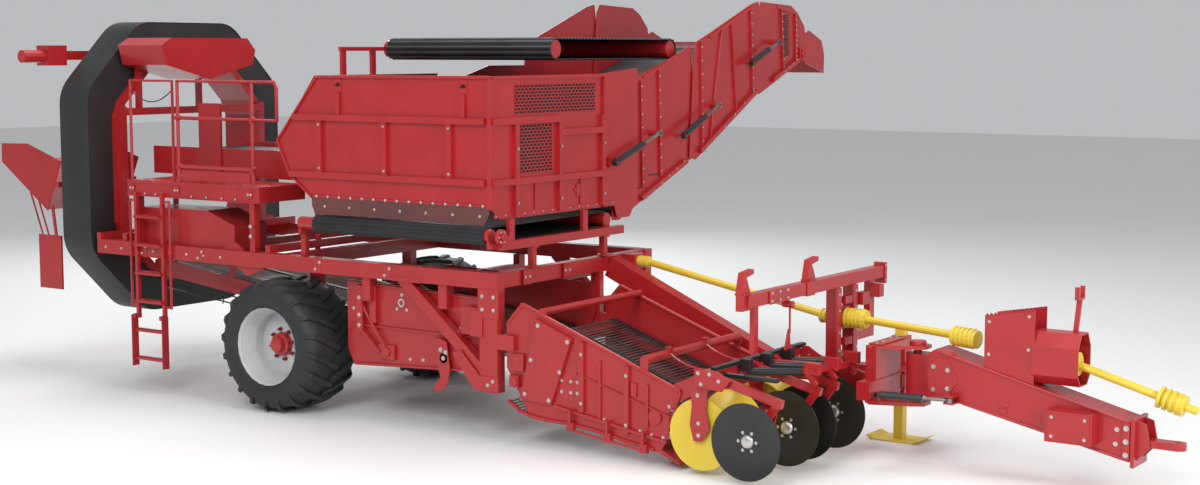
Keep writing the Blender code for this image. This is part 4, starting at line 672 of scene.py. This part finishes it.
# ------------------------------------------------------------------ frame and channel details
def ring_mark(shape, centre, radius, width=0.016, height=0.012):
    """A raised ring, such as a bearing's, on a face across Y."""
    inner = radius - width
    shape.lathe([(inner, 0.0), (radius, 0.0), (radius, height), (inner, height), (inner, 0.0)], centre, "Y", 20)


def make_frame_details():
    plates = Shape()
    for x in (-1.95, -1.10, 0.55, 1.45):
        plates.box((x - 0.05, x + 0.05), (SIDE - 0.006, SIDE + 0.002), (1.435, 1.575))
    plates.box((2.55, 2.785), (SIDE - 0.006, SIDE + 0.002), (1.16, 1.43))
    plates.box((2.46, 2.60), (SIDE - 0.010, SIDE + 0.004), (0.98, 1.22))
    plates.box((1.50, 1.86), (SIDE - 0.005, SIDE + 0.002), (1.425, 1.47))
    plates.plate([(2.34, 0.84), (2.56, 0.62), (2.78, 0.62), (2.78, 0.48), (2.50, 0.48), (2.24, 0.80)],
                 SIDE - 0.006, 0.006)
    for y in (0.66, 1.30, 2.20):
        plates.box((2.768, 2.778), (y - 0.06, y + 0.06), (1.435, 1.575))
    piece("frame_plates", plates, RED, bevel=0.002)
    heads = Shape()
    for x in (-1.95, -1.10, 0.55, 1.45):
        heads.side_bolts(SIDE - 0.006, [(x - 0.03, 1.47), (x + 0.03, 1.54)], 0.011, 0.010)
    heads.side_bolts(SIDE - 0.006, [(2.60, 1.36), (2.73, 1.36), (2.60, 1.24), (2.73, 1.24), (2.66, 0.54),
                                    (2.72, 0.58)])
    heads.side_bolts(SIDE - 0.005, [(-0.36, 1.74), (-0.36, 1.84)], 0.014, 0.012)
    heads.bolts([(2.778, y + s, 1.505) for y in (0.66, 1.30, 2.20) for s in (-0.035, 0.035)],
                (1, 0, 0), 0.010, 0.009)
    piece("frame_bolts", heads, ZINC)


CHANNEL = 0.33              # outer face of the middle channel


def make_channel_details():
    """Folds, bearings, brackets and bolts on the fixed channel behind the digger."""
    face = CHANNEL
    shape = Shape()
    shape.box((0.86, 2.55), (face - 0.022, face + 0.002), (0.935, 0.955))
    shape.bar((0.92, face - 0.010, 0.56), (2.50, face - 0.010, 0.635), 0.026, 0.020)
    shape.bar((0.84, face - 0.010, 1.36), (2.70, face - 0.010, 1.305), 0.022, 0.018)
    shape.bar((0.96, face - 0.018, 1.26), (1.34, face - 0.018, 0.74), 0.030, 0.060, (0, 1, 0))
    shape.box((1.24, 1.44), (face - 0.032, face + 0.002), (0.64, 0.78))
    shape.rod((1.34, face - 0.05, 0.71), (1.34, face, 0.71), 0.048, 16)
    shape.box((0.98, 1.06), (face - 0.060, face + 0.002), (0.88, 1.34))
    shape.box((1.14, 1.22), (face - 0.045, face + 0.002), (0.98, 1.34))
    shape.bar((1.02, face - 0.030, 0.92), (1.26, face - 0.030, 0.70), 0.028, 0.050, (0, 1, 0))
    shape.plate([(1.96, 0.92), (2.10, 0.88), (2.14, 0.62), (2.10, 0.46), (1.97, 0.38), (1.93, 0.42),
                 (2.02, 0.54), (1.98, 0.66)], face - 0.045, 0.016)
    shape.rod((2.06, face - 0.045, 0.72), (2.06, face + 0.002, 0.72), 0.050, 16)
    for x, z in ((1.52, 1.20), (2.32, 0.80)):
        shape.rod((x, face - 0.012, z), (x, face + 0.002, z), 0.030, 16)
    shape.box((2.30, 2.52), (face - 0.080, face - 0.070), (0.98, 1.24))
    shape.box((2.40, 2.44), (face - 0.072, face), (1.06, 1.16))
    piece("channel_brackets", shape, RED, bevel=0.003)
    rings = Shape()
    for x, z in ((1.52, 1.20), (2.32, 0.80)):
        ring_mark(rings, (x, face - 0.014, z), 0.042)
    rings.side_bolts(face - 0.001, [(1.46, 1.135), (1.58, 1.135), (1.52, 1.275), (1.62, 0.66), (1.78, 0.67),
                                    (2.24, 1.02), (0.90, 1.10), (2.58, 1.10)], 0.012, 0.012)
    rings.side_bolts(face - 0.045, [(2.03, 0.80), (2.09, 0.78), (2.06, 0.72)], 0.016, 0.014)
    rings.side_bolts(face - 0.060, [(1.02, 0.95), (1.02, 1.05), (1.02, 1.22)], 0.014, 0.012)
    piece("channel_bolts", rings, ZINC)


# ------------------------------------------------------------------ digger and toolbar details
DIGGER = 0.25               # outer face of the digger's right side
DIGGER_INNER = 1.858        # outer face of its left side
BELLY = [(2.86, 0.40), (2.98, 0.325), (3.11, 0.285), (3.30, 0.268), (3.55, 0.262), (3.80, 0.24), (4.10, 0.19),
         (4.44, 0.140)]


def make_digger_details():
    edge = Shape()
    for y in (DIGGER + 0.004, DIGGER_INNER - 0.004):
        edge.rod((3.02, y, 1.312), (4.712, y, 0.692), 0.020, 12)
        edge.rod((2.86, y, 1.135), (3.02, y, 1.312), 0.020, 12)
        edge.rod((4.712, y, 0.692), (4.60, y, 0.36), 0.018, 12)
    for x in (3.88, 4.38):
        edge.box((x - 0.012, x + 0.012), (DIGGER - 0.018, DIGGER), (0.34, 0.88 if x < 4 else 0.72))
    edge.bar((3.40, DIGGER - 0.012, 0.42), (4.58, DIGGER - 0.012, 0.235), 0.030, 0.028)
    edge.bar((3.62, DIGGER - 0.008, 0.74), (4.62, DIGGER - 0.008, 0.46), 0.016, 0.014)
    for (x, z), (x1, z1) in zip(BELLY, BELLY[1:]):
        edge.bar((x, DIGGER - 0.006, z + 0.012), (x1 + 0.01, DIGGER - 0.006, z1 + 0.012), 0.028, 0.030)
    for x, z in ((3.58, 0.27), (3.98, 0.22), (4.36, 0.17)):
        edge.box((x - 0.035, x + 0.035), (DIGGER - 0.050, DIGGER), (z - 0.055, z + 0.030))
        edge.box((x - 0.012, x + 0.012), (DIGGER - 0.060, DIGGER - 0.030), (z + 0.02, z + 0.14))
    edge.bar((3.56, DIGGER - 0.045, 0.235), (4.40, DIGGER - 0.045, 0.135), 0.020, 0.020)
    edge.box((4.21, 4.27), (DIGGER - 0.016, DIGGER + 0.002), (0.60, 0.72))
    edge.rod((4.46, DIGGER - 0.020, 0.44), (4.46, DIGGER, 0.44), 0.065, 20)
    piece("digger_edges", edge, RED, "digger", bevel=0.003)
    panel = Shape()
    panel.plate([(3.195, 1.185), (3.585, 1.045), (3.36, 0.43), (3.02, 0.46)], DIGGER - 0.036, 0.006)
    panel.box((2.90, 3.00), (DIGGER - 0.045, DIGGER + 0.002), (0.55, 0.66))
    panel.box((2.93, 3.05), (DIGGER - 0.030, DIGGER + 0.002), (0.70, 0.86))
    panel.rod((2.95, DIGGER - 0.06, 0.60), (2.95, DIGGER, 0.60), 0.045, 16)
    piece("digger_cover", panel, RED, "digger", bevel=0.003)
    heads = Shape()
    heads.side_bolts(DIGGER - 0.036, [(3.22, 1.14), (3.545, 1.02), (3.46, 0.74), (3.34, 0.47), (3.07, 0.50),
                                      (3.14, 0.82)], 0.014, 0.010)
    heads.side_bolts(DIGGER, [(x, z) for x in (3.46, 3.56, 3.63) for z in (0.56, 0.66)], 0.011, 0.010)
    heads.side_bolts(DIGGER - 0.030, [(3.69, 0.48), (3.69, 0.92), (4.17, 0.34), (4.17, 0.78)], 0.011, 0.009)
    heads.side_bolts(DIGGER, [(4.30, 0.30), (4.42, 0.28), (4.54, 0.27), (4.60, 0.55), (3.92, 0.36)],
                     0.011, 0.009)
    piece("digger_bolts", heads, ZINC, "digger")
    # grated belly under the web: slats along the curve, carried by the two edge strips
    grate = Shape()
    for (x, z), (x1, z1) in zip(BELLY[:5], BELLY[1:5]):
        for point in row((x, 0, z), (x1, 0, z1), 5)[:-1]:
            grate.rod((point.x, DIGGER + 0.002, point.z), (point.x, DIGGER_INNER - 0.004, point.z), 0.006, 6)
    for y in row((0, DIGGER + 0.14, 0), (0, DIGGER_INNER - 0.14, 0), 10):
        for (x, z), (x1, z1) in zip(BELLY[:4], BELLY[1:5]):
            grate.bar((x, y.y, z), (x1, y.y, z1), 0.008, 0.010)
    piece("digger_belly_grate", grate, STEEL, "digger")
    # chain and hangers between the cross tube and the toolbar
    links = Shape()
    for y in (0.62, 1.24):
        points = row((4.36, y, 0.95), (4.99, y, 0.915), 12)
        for number, (a, b) in enumerate(zip(points, points[1:])):
            sag = [0.10 * 4 * (n / 11) * (1 - n / 11) for n in (number, number + 1)]
            links.rod((a.x, a.y, a.z - sag[0]), (b.x, b.y, b.z - sag[1]), 0.009, 6)
        links.box((4.33, 4.39), (y - 0.02, y + 0.02), (0.955, 1.00))
    piece("digger_chains", links, RED, "digger")


def make_toolbar_details():
    """Black cylinders, arms, clamps and scrapers in front of the digger's toolbar."""
    black = Shape()
    black.box((5.01, 5.62), (0.30, 0.36), (0.850, 0.885))
    black.rod((5.00, 0.33, 0.866), (5.30, 0.33, 0.866), 0.026, 16)
    black.rod((5.16, 0.62, 0.860), (5.62, 0.92, 0.860), 0.034, 16)
    black.rod((5.12, 0.98, 0.860), (5.66, 1.22, 0.860), 0.034, 16)
    black.rod((5.16, 1.36, 0.860), (5.62, 1.52, 0.860), 0.030, 16)
    black.box((5.04, 5.10), (0.20, 1.80), (0.920, 0.950))
    for y in (0.62, 0.98, 1.36):
        black.box((5.10, 5.20), (y - 0.035, y + 0.035), (0.86, 0.97))
    piece("toolbar_cylinders", black, BLACK, "digger", bevel=0.004, smooth=True)
    red = Shape()
    for y in (0.115, 0.745, 1.11, 1.73):
        red.plate([(4.93, 0.78), (4.93, 0.93), (5.16, 0.93), (5.28, 0.86), (5.20, 0.76)], y, 0.012)
    for y in (0.62, 0.98, 1.36):
        red.box((5.60, 5.74), (y + 0.20, y + 0.26), (0.85, 0.95))
        red.bar((5.58, y + 0.23, 0.90), (5.72, y + 0.20, 0.76), 0.030, 0.05)
    red.bar((5.12, 1.02, 0.88), (5.66, 1.34, 0.84), 0.05, 0.06)
    red.bar((5.60, 0.92, 0.86), (5.66, 1.62, 0.84), 0.05, 0.05)
    red.plate([(5.52, 0.36), (5.62, 0.44), (5.66, 0.60), (5.60, 0.72), (5.50, 0.66), (5.50, 0.50)], 0.235, 0.012)
    for low, high in ((0.16, 0.78), (1.14, 1.66)):
        for y in (low, high - 0.012):
            red.plate([(4.86, 0.80), (5.04, 0.80), (5.02, 0.58), (5.06, 0.42), (4.98, 0.30), (4.90, 0.30),
                       (4.86, 0.44), (4.88, 0.60)], y, 0.012)
    piece("toolbar_brackets", red, RED, "digger", bevel=0.003)
    heads = Shape()
    for y in (0.115, 0.745, 1.11, 1.73):
        heads.side_bolts(y, [(4.97, 0.90), (5.08, 0.90), (5.17, 0.85), (5.00, 0.81)], 0.012, 0.010)
    heads.side_bolts(0.16, [(4.95, 0.355), (4.95, 0.46), (4.94, 0.70)], 0.013, 0.011)
    heads.side_bolts(0.235, [(5.56, 0.62), (5.58, 0.50)], 0.013, 0.011)
    heads.bolts([(5.082, p.y, 0.835) for p in row((0, 0.30, 0), (0, 1.70, 0), 9)], (1, 0, 0), 0.011, 0.009)
    piece("toolbar_bolts", heads, ZINC, "digger")


# ------------------------------------------------------------------ gantry, drawbar and shafts
def bellows(shape, start, end, radius, count, proud=0.008):
    """Rings round a shaft guard's cone, from one end to the other."""
    points = row(start, end, count * 2 + 1)
    for number in range(count):
        a, b = points[2 * number], points[2 * number + 1]
        shape.rod(a, b, radius + proud, 24)
    return shape


def make_gantry_details():
    shape = Shape()
    shape.box((5.362, 5.372), (0.62, 0.98), (1.452, 1.578)).box((5.362, 5.370), (1.30, 1.42), (1.455, 1.575))
    shape.box((5.250, 5.372), (2.86, 2.905), (1.40, 1.60))
    for y in (1.895, 2.225):
        shape.box((5.355, 5.385), (y - 0.045, y + 0.045), (0.80, 1.46))
    for z in (0.96, 1.34):
        shape.box((5.355, 5.400), (1.99, 2.13), (z - 0.035, z + 0.035))
    shape.box((5.34, 5.44), (2.60, 2.70), (1.30, 1.42)).box((5.355, 5.42), (2.30, 2.44), (1.26, 1.38))
    shape.rod((5.36, 1.00, 1.44), (5.36, 1.00, 1.16), 0.010, 8)
    shape.rod((5.31, 0.97, 1.42), (5.41, 0.97, 1.42), 0.030, 16)
    shape.prism([(5.345, 0.918, 1.02), (5.345, 1.030, 1.02), (5.345, 1.012, 1.20), (5.345, 0.985, 1.20)],
                (0.012, 0, 0))
    for shift in (0.0, 1.16):
        shape.box((5.262, 5.358), (0.21 + shift, 0.335 + shift), (1.572, 1.59))
    piece("gantry_brackets", shape, RED, bevel=0.004)
    heads = Shape()
    heads.bolts([(5.372, y, z) for y in (0.66, 0.80, 0.94) for z in (1.48, 1.55)], (1, 0, 0), 0.011, 0.010)
    heads.bolts([(5.385, y, z) for y in (1.895, 2.225) for z in (0.88, 1.05, 1.25, 1.40)],
                (1, 0, 0), 0.011, 0.010)
    heads.bolts([(5.372, 2.88, 1.43), (5.372, 2.88, 1.57)], (1, 0, 0), 0.012, 0.010)
    piece("gantry_bolts", heads, ZINC)


DRAWBAR_TOP = ((6.48, 1.05), (8.20, 0.61))      # X, Z of its upper edge


def drawbar_top(x):
    """Height of the drawbar's upper edge."""
    (x0, z0), (x1, z1) = DRAWBAR_TOP
    return z0 + (z1 - z0) * (x - x0) / (x1 - x0)


def make_drawbar_details():
    low, high = 1.55, 1.85
    shape = Shape()
    for y, side in ((low, -1), (high, 1)):
        edge = y + side * 0.004
        shape.bar((6.50, edge, drawbar_top(6.50) - 0.008), (8.18, edge, drawbar_top(8.18) - 0.008), 0.016, 0.020)
        shape.bar((6.74, edge, 0.605), (8.18, edge, 0.292), 0.016, 0.020)
        shape.plate([(6.42, 0.98), (6.60, 0.98), (6.70, 0.80), (6.60, 0.64), (6.42, 0.62)],
                    y + min(side, 0) * 0.010, 0.010)
    shape.box((8.13, 8.19), (low - 0.018, high + 0.018), (0.30, 0.605))
    shape.box((7.54, 7.90), (low - 0.146, low - 0.138), (0.42, 0.64))
    shape.box((7.06, 7.16), (low - 0.008, low + 0.002), (0.62, 0.66))
    shape.box((7.08, 7.14), (low - 0.012, low + 0.002), (0.56, 0.60))
    for x in [6.93 + 0.036 * n for n in range(12)]:
        z = 1.38 + 0.08 * (x - 6.92) / 0.44
        shape.box((x, x + 0.020), (low + 0.010, low + 0.018), (z - 0.01, z + 0.016))
    shape.box((7.345, 7.735), (low + 0.0005, low + 0.010), (0.925, 0.945))
    piece("drawbar_edges", shape, RED, "drawbar", bevel=0.003)
    heads = Shape()
    heads.side_bolts(low - 0.018, [(8.16, 0.34), (8.16, 0.45), (8.16, 0.56)], 0.016, 0.012)
    heads.side_bolts(low, [(8.08, 0.54), (8.07, 0.42)], 0.014, 0.010)
    heads.side_bolts(low - 0.010, [(6.47, 0.90), (6.60, 0.88), (6.47, 0.70), (6.60, 0.72)], 0.014, 0.010)
    heads.side_bolts(low + 0.010, [(6.96, 1.33), (6.96, 1.05), (7.31, 1.40), (7.31, 1.12)], 0.010, 0.008)
    heads.side_bolts(low - 0.146, [(7.58, 0.45), (7.86, 0.45), (7.58, 0.61), (7.86, 0.61)], 0.010, 0.008)
    piece("drawbar_bolts", heads, ZINC, "drawbar")
    # steering head plates on the frame
    steer = Shape()
    steer.rod((6.25, 1.70, 1.05), (6.25, 1.70, 1.085), 0.075, 24)
    steer.box((5.89, 6.02), (1.46, 1.94), (1.05, 1.062)).box((5.98, 5.992), (1.95, 2.50), (0.60, 0.72))
    for y in (2.02, 2.36):
        steer.box((5.978, 6.00), (y - 0.04, y + 0.04), (0.575, 0.745))
    piece("steering_head_plates", steer, RED, bevel=0.003)
    studs = Shape().bolts([(5.95, y, 1.062) for y in (1.50, 1.62, 1.78, 1.90)], (0, 0, 1), 0.013, 0.011)
    studs.bolts([(6.00, y, z) for y in (2.02, 2.36) for z in (0.60, 0.72)], (1, 0, 0), 0.011, 0.010)
    piece("steering_head_bolts", studs, ZINC)


def make_shaft_details():
    y, z = 2.06, 1.17
    rings = bellows(Shape(), (5.375, y, z), (5.575, y, z), 0.085, 5)
    rings = bellows(rings, (6.57, 1.748, z - 0.020), (6.79, 1.712, z - 0.029), 0.080, 5)
    rings = bellows(rings, (5.12, y, z), (5.25, y, z), 0.060, 3)
    piece("shaft_bellows_frame", rings, YELLOW, bevel=0.002, smooth=True)
    front = bellows(Shape(), (8.37, 1.70, 0.820), (8.57, 1.70, 0.763), 0.076, 4, 0.016)
    front = bellows(front, (7.61, 1.70, 1.02), (7.69, 1.70, 1.02), 0.10, 2)
    piece("shaft_bellows_front", front, YELLOW, "drawbar", bevel=0.002, smooth=True)


# ------------------------------------------------------------------ platform, ladder, rear
TREAD_COLUMNS, TREAD_LINES = 14, 6


def make_platform_details():
    tread = Shape()
    for number in range(TREAD_COLUMNS * TREAD_LINES):
        column, line = divmod(number, TREAD_LINES)
        x, y = -2.10 + column * 0.138, 0.29 + line * 0.095
        turn = 0.024 if (column + line) % 2 else -0.024
        tread.bar((x - 0.024, y - turn, 2.2415), (x + 0.024, y + turn, 2.2415), 0.010, 0.005)
    piece("deck_tread", tread, RED)
    teeth = Shape()
    for z in [1.87 - 0.30 * n for n in range(4)]:
        for point in row((-1.98, 0, 0), (-1.66, 0, 0), 9):
            teeth.box((point.x - 0.010, point.x + 0.010), (0.123, 0.190), (z + 0.004, z + 0.018))
    piece("rung_teeth_upper", teeth, RED)
    lower = Shape()
    for z in (0.66, 0.36):
        for point in row((-2.02, 0, 0), (-1.62, 0, 0), 9):
            lower.box((point.x - 0.010, point.x + 0.010), (0.122, 0.164), (z + 0.004, z + 0.018))
    piece("rung_teeth_lower", lower, RED, "ladder")
    trim = Shape()
    for z in ((2.215, 2.245), (2.075, 2.09)):
        trim.box((-2.18, -0.23), (0.192, 0.201), z)
    for x in (-2.10, -1.42, -0.36):
        trim.box((x - 0.035, x + 0.035), (0.188, 0.201), (2.12, 2.20))
    trim.box((-1.38, -0.38), (0.228, 0.242), (2.262, 2.372))
    for x in (-1.42, -0.35):
        for z in (2.41, 2.91):
            trim.rod((x, 0.210, z), (x, 0.262, z), 0.028, 12)
    trim.box((-2.10, -0.72), (0.312, 0.318), (1.60, 1.62))
    piece("deck_trim", trim, RED, bevel=0.002)
    heads = Shape()
    heads.side_bolts(0.188, [(x, 2.16) for x in (-2.12, -2.08, -1.44, -1.40, -0.38, -0.34)], 0.010, 0.008)
    heads.side_bolts(0.192, [(x, 2.105) for x in (-1.90, -1.74, -1.20, -0.98, -0.76, -0.56)], 0.009, 0.008)
    piece("deck_bolts", heads, ZINC)


def make_discs_and_rollers():
    """Smooth dished discs with ground edges, and waisted rollers with flat rims."""
    for number in range(1, 5):
        low, high = machine_box(f"coulter_disc_{number}")
        x, z = (low.x + high.x) / 2, (low.z + high.z) / 2
        radius, face = (high.x - low.x) / 2, high.y
        dish = [(0.030, -0.001), (0.12, -0.001), (0.20, -0.005), (0.27, -0.014), (radius - 0.012, -0.029),
                (radius, -0.0365), (radius - 0.002, -0.0385), (0.27, -0.021), (0.20, -0.012), (0.12, -0.008),
                (0.030, -0.008), (0.030, -0.001)]
        shape = Shape().lathe(dish, (x, face, z), "Y", 64)
        piece(f"disc_blade_{number}", shape, BLACK, f"disc_{number}",
              (f"coulter_disc_{number}",), smooth=True)
        hub = Shape().lathe([(0.0, -0.030), (0.040, -0.030), (0.052, -0.024), (0.062, -0.006), (0.062, 0.0)],
                            (x, face, z), "Y", 24)
        hub.bolts([(x + 0.085 * math.cos(a), face - 0.006, z + 0.085 * math.sin(a))
                   for a in [math.pi / 3 * n for n in range(6)]], (0, -1, 0), 0.010, 0.008)
        piece(f"disc_hub_{number}", hub, ZINC, f"disc_{number}", smooth=True)
    for side in ("right", "left"):
        low, high = machine_box(f"ridge_roller_{side}")
        centre, half, radius = (low + high) / 2, (high.y - low.y) / 2, (high.z - low.z) / 2
        shell = [(0.031, -half + 0.004), (radius - 0.03, -half + 0.004), (radius, -half),
                 (radius, -half + 0.02), (radius - 0.035, -half * 0.70), (0.235, -half * 0.35), (0.205, 0.0),
                 (0.235, half * 0.35), (radius - 0.035, half * 0.70), (radius, half - 0.02), (radius, half),
                 (radius - 0.03, half - 0.004), (0.031, half - 0.004)]
        shape = Shape().lathe(shell, centre, "Y", 64)
        piece(f"roller_shell_{side}", shape, YELLOW, f"roller_{side}",
              (f"ridge_roller_{side}",), smooth=True)


def make_rear_details():
    """Guard rods beside the rear web, and bolts along the rear of the side beam."""
    rods = Shape()
    for number in range(9):
        x = -2.30 + number * 0.27
        top = 1.32 - (x + 2.30) * 0.16
        rods.rod((x, 0.875, top - 0.30), (x + 0.10, 0.875, top), 0.007, 6)
    for drop in (0.0, 0.10, 0.20, 0.30):
        rods.rod((-2.36, 0.870, 1.30 - drop), (0.02, 0.870, 0.925 - drop * 0.5), 0.008, 6)
    piece("rear_web_guard", rods, BLACK)
    heads = Shape().bolts([(x, 0.198, 1.50) for x in row_of(-2.55, -0.80, 8)], (0, -1, 0), 0.010, 0.009)
    piece("rear_beam_bolts", heads, ZINC)


make_camera()
make_studio()
paint_cad()
make_wheels()
make_belts()
make_ring()
make_chain()
make_bunker_details()
make_elevator_details()
make_frame_details()
make_channel_details()
make_digger_details()
make_toolbar_details()
make_gantry_details()
make_drawbar_details()
make_shaft_details()
make_platform_details()
make_discs_and_rollers()
make_rear_details()
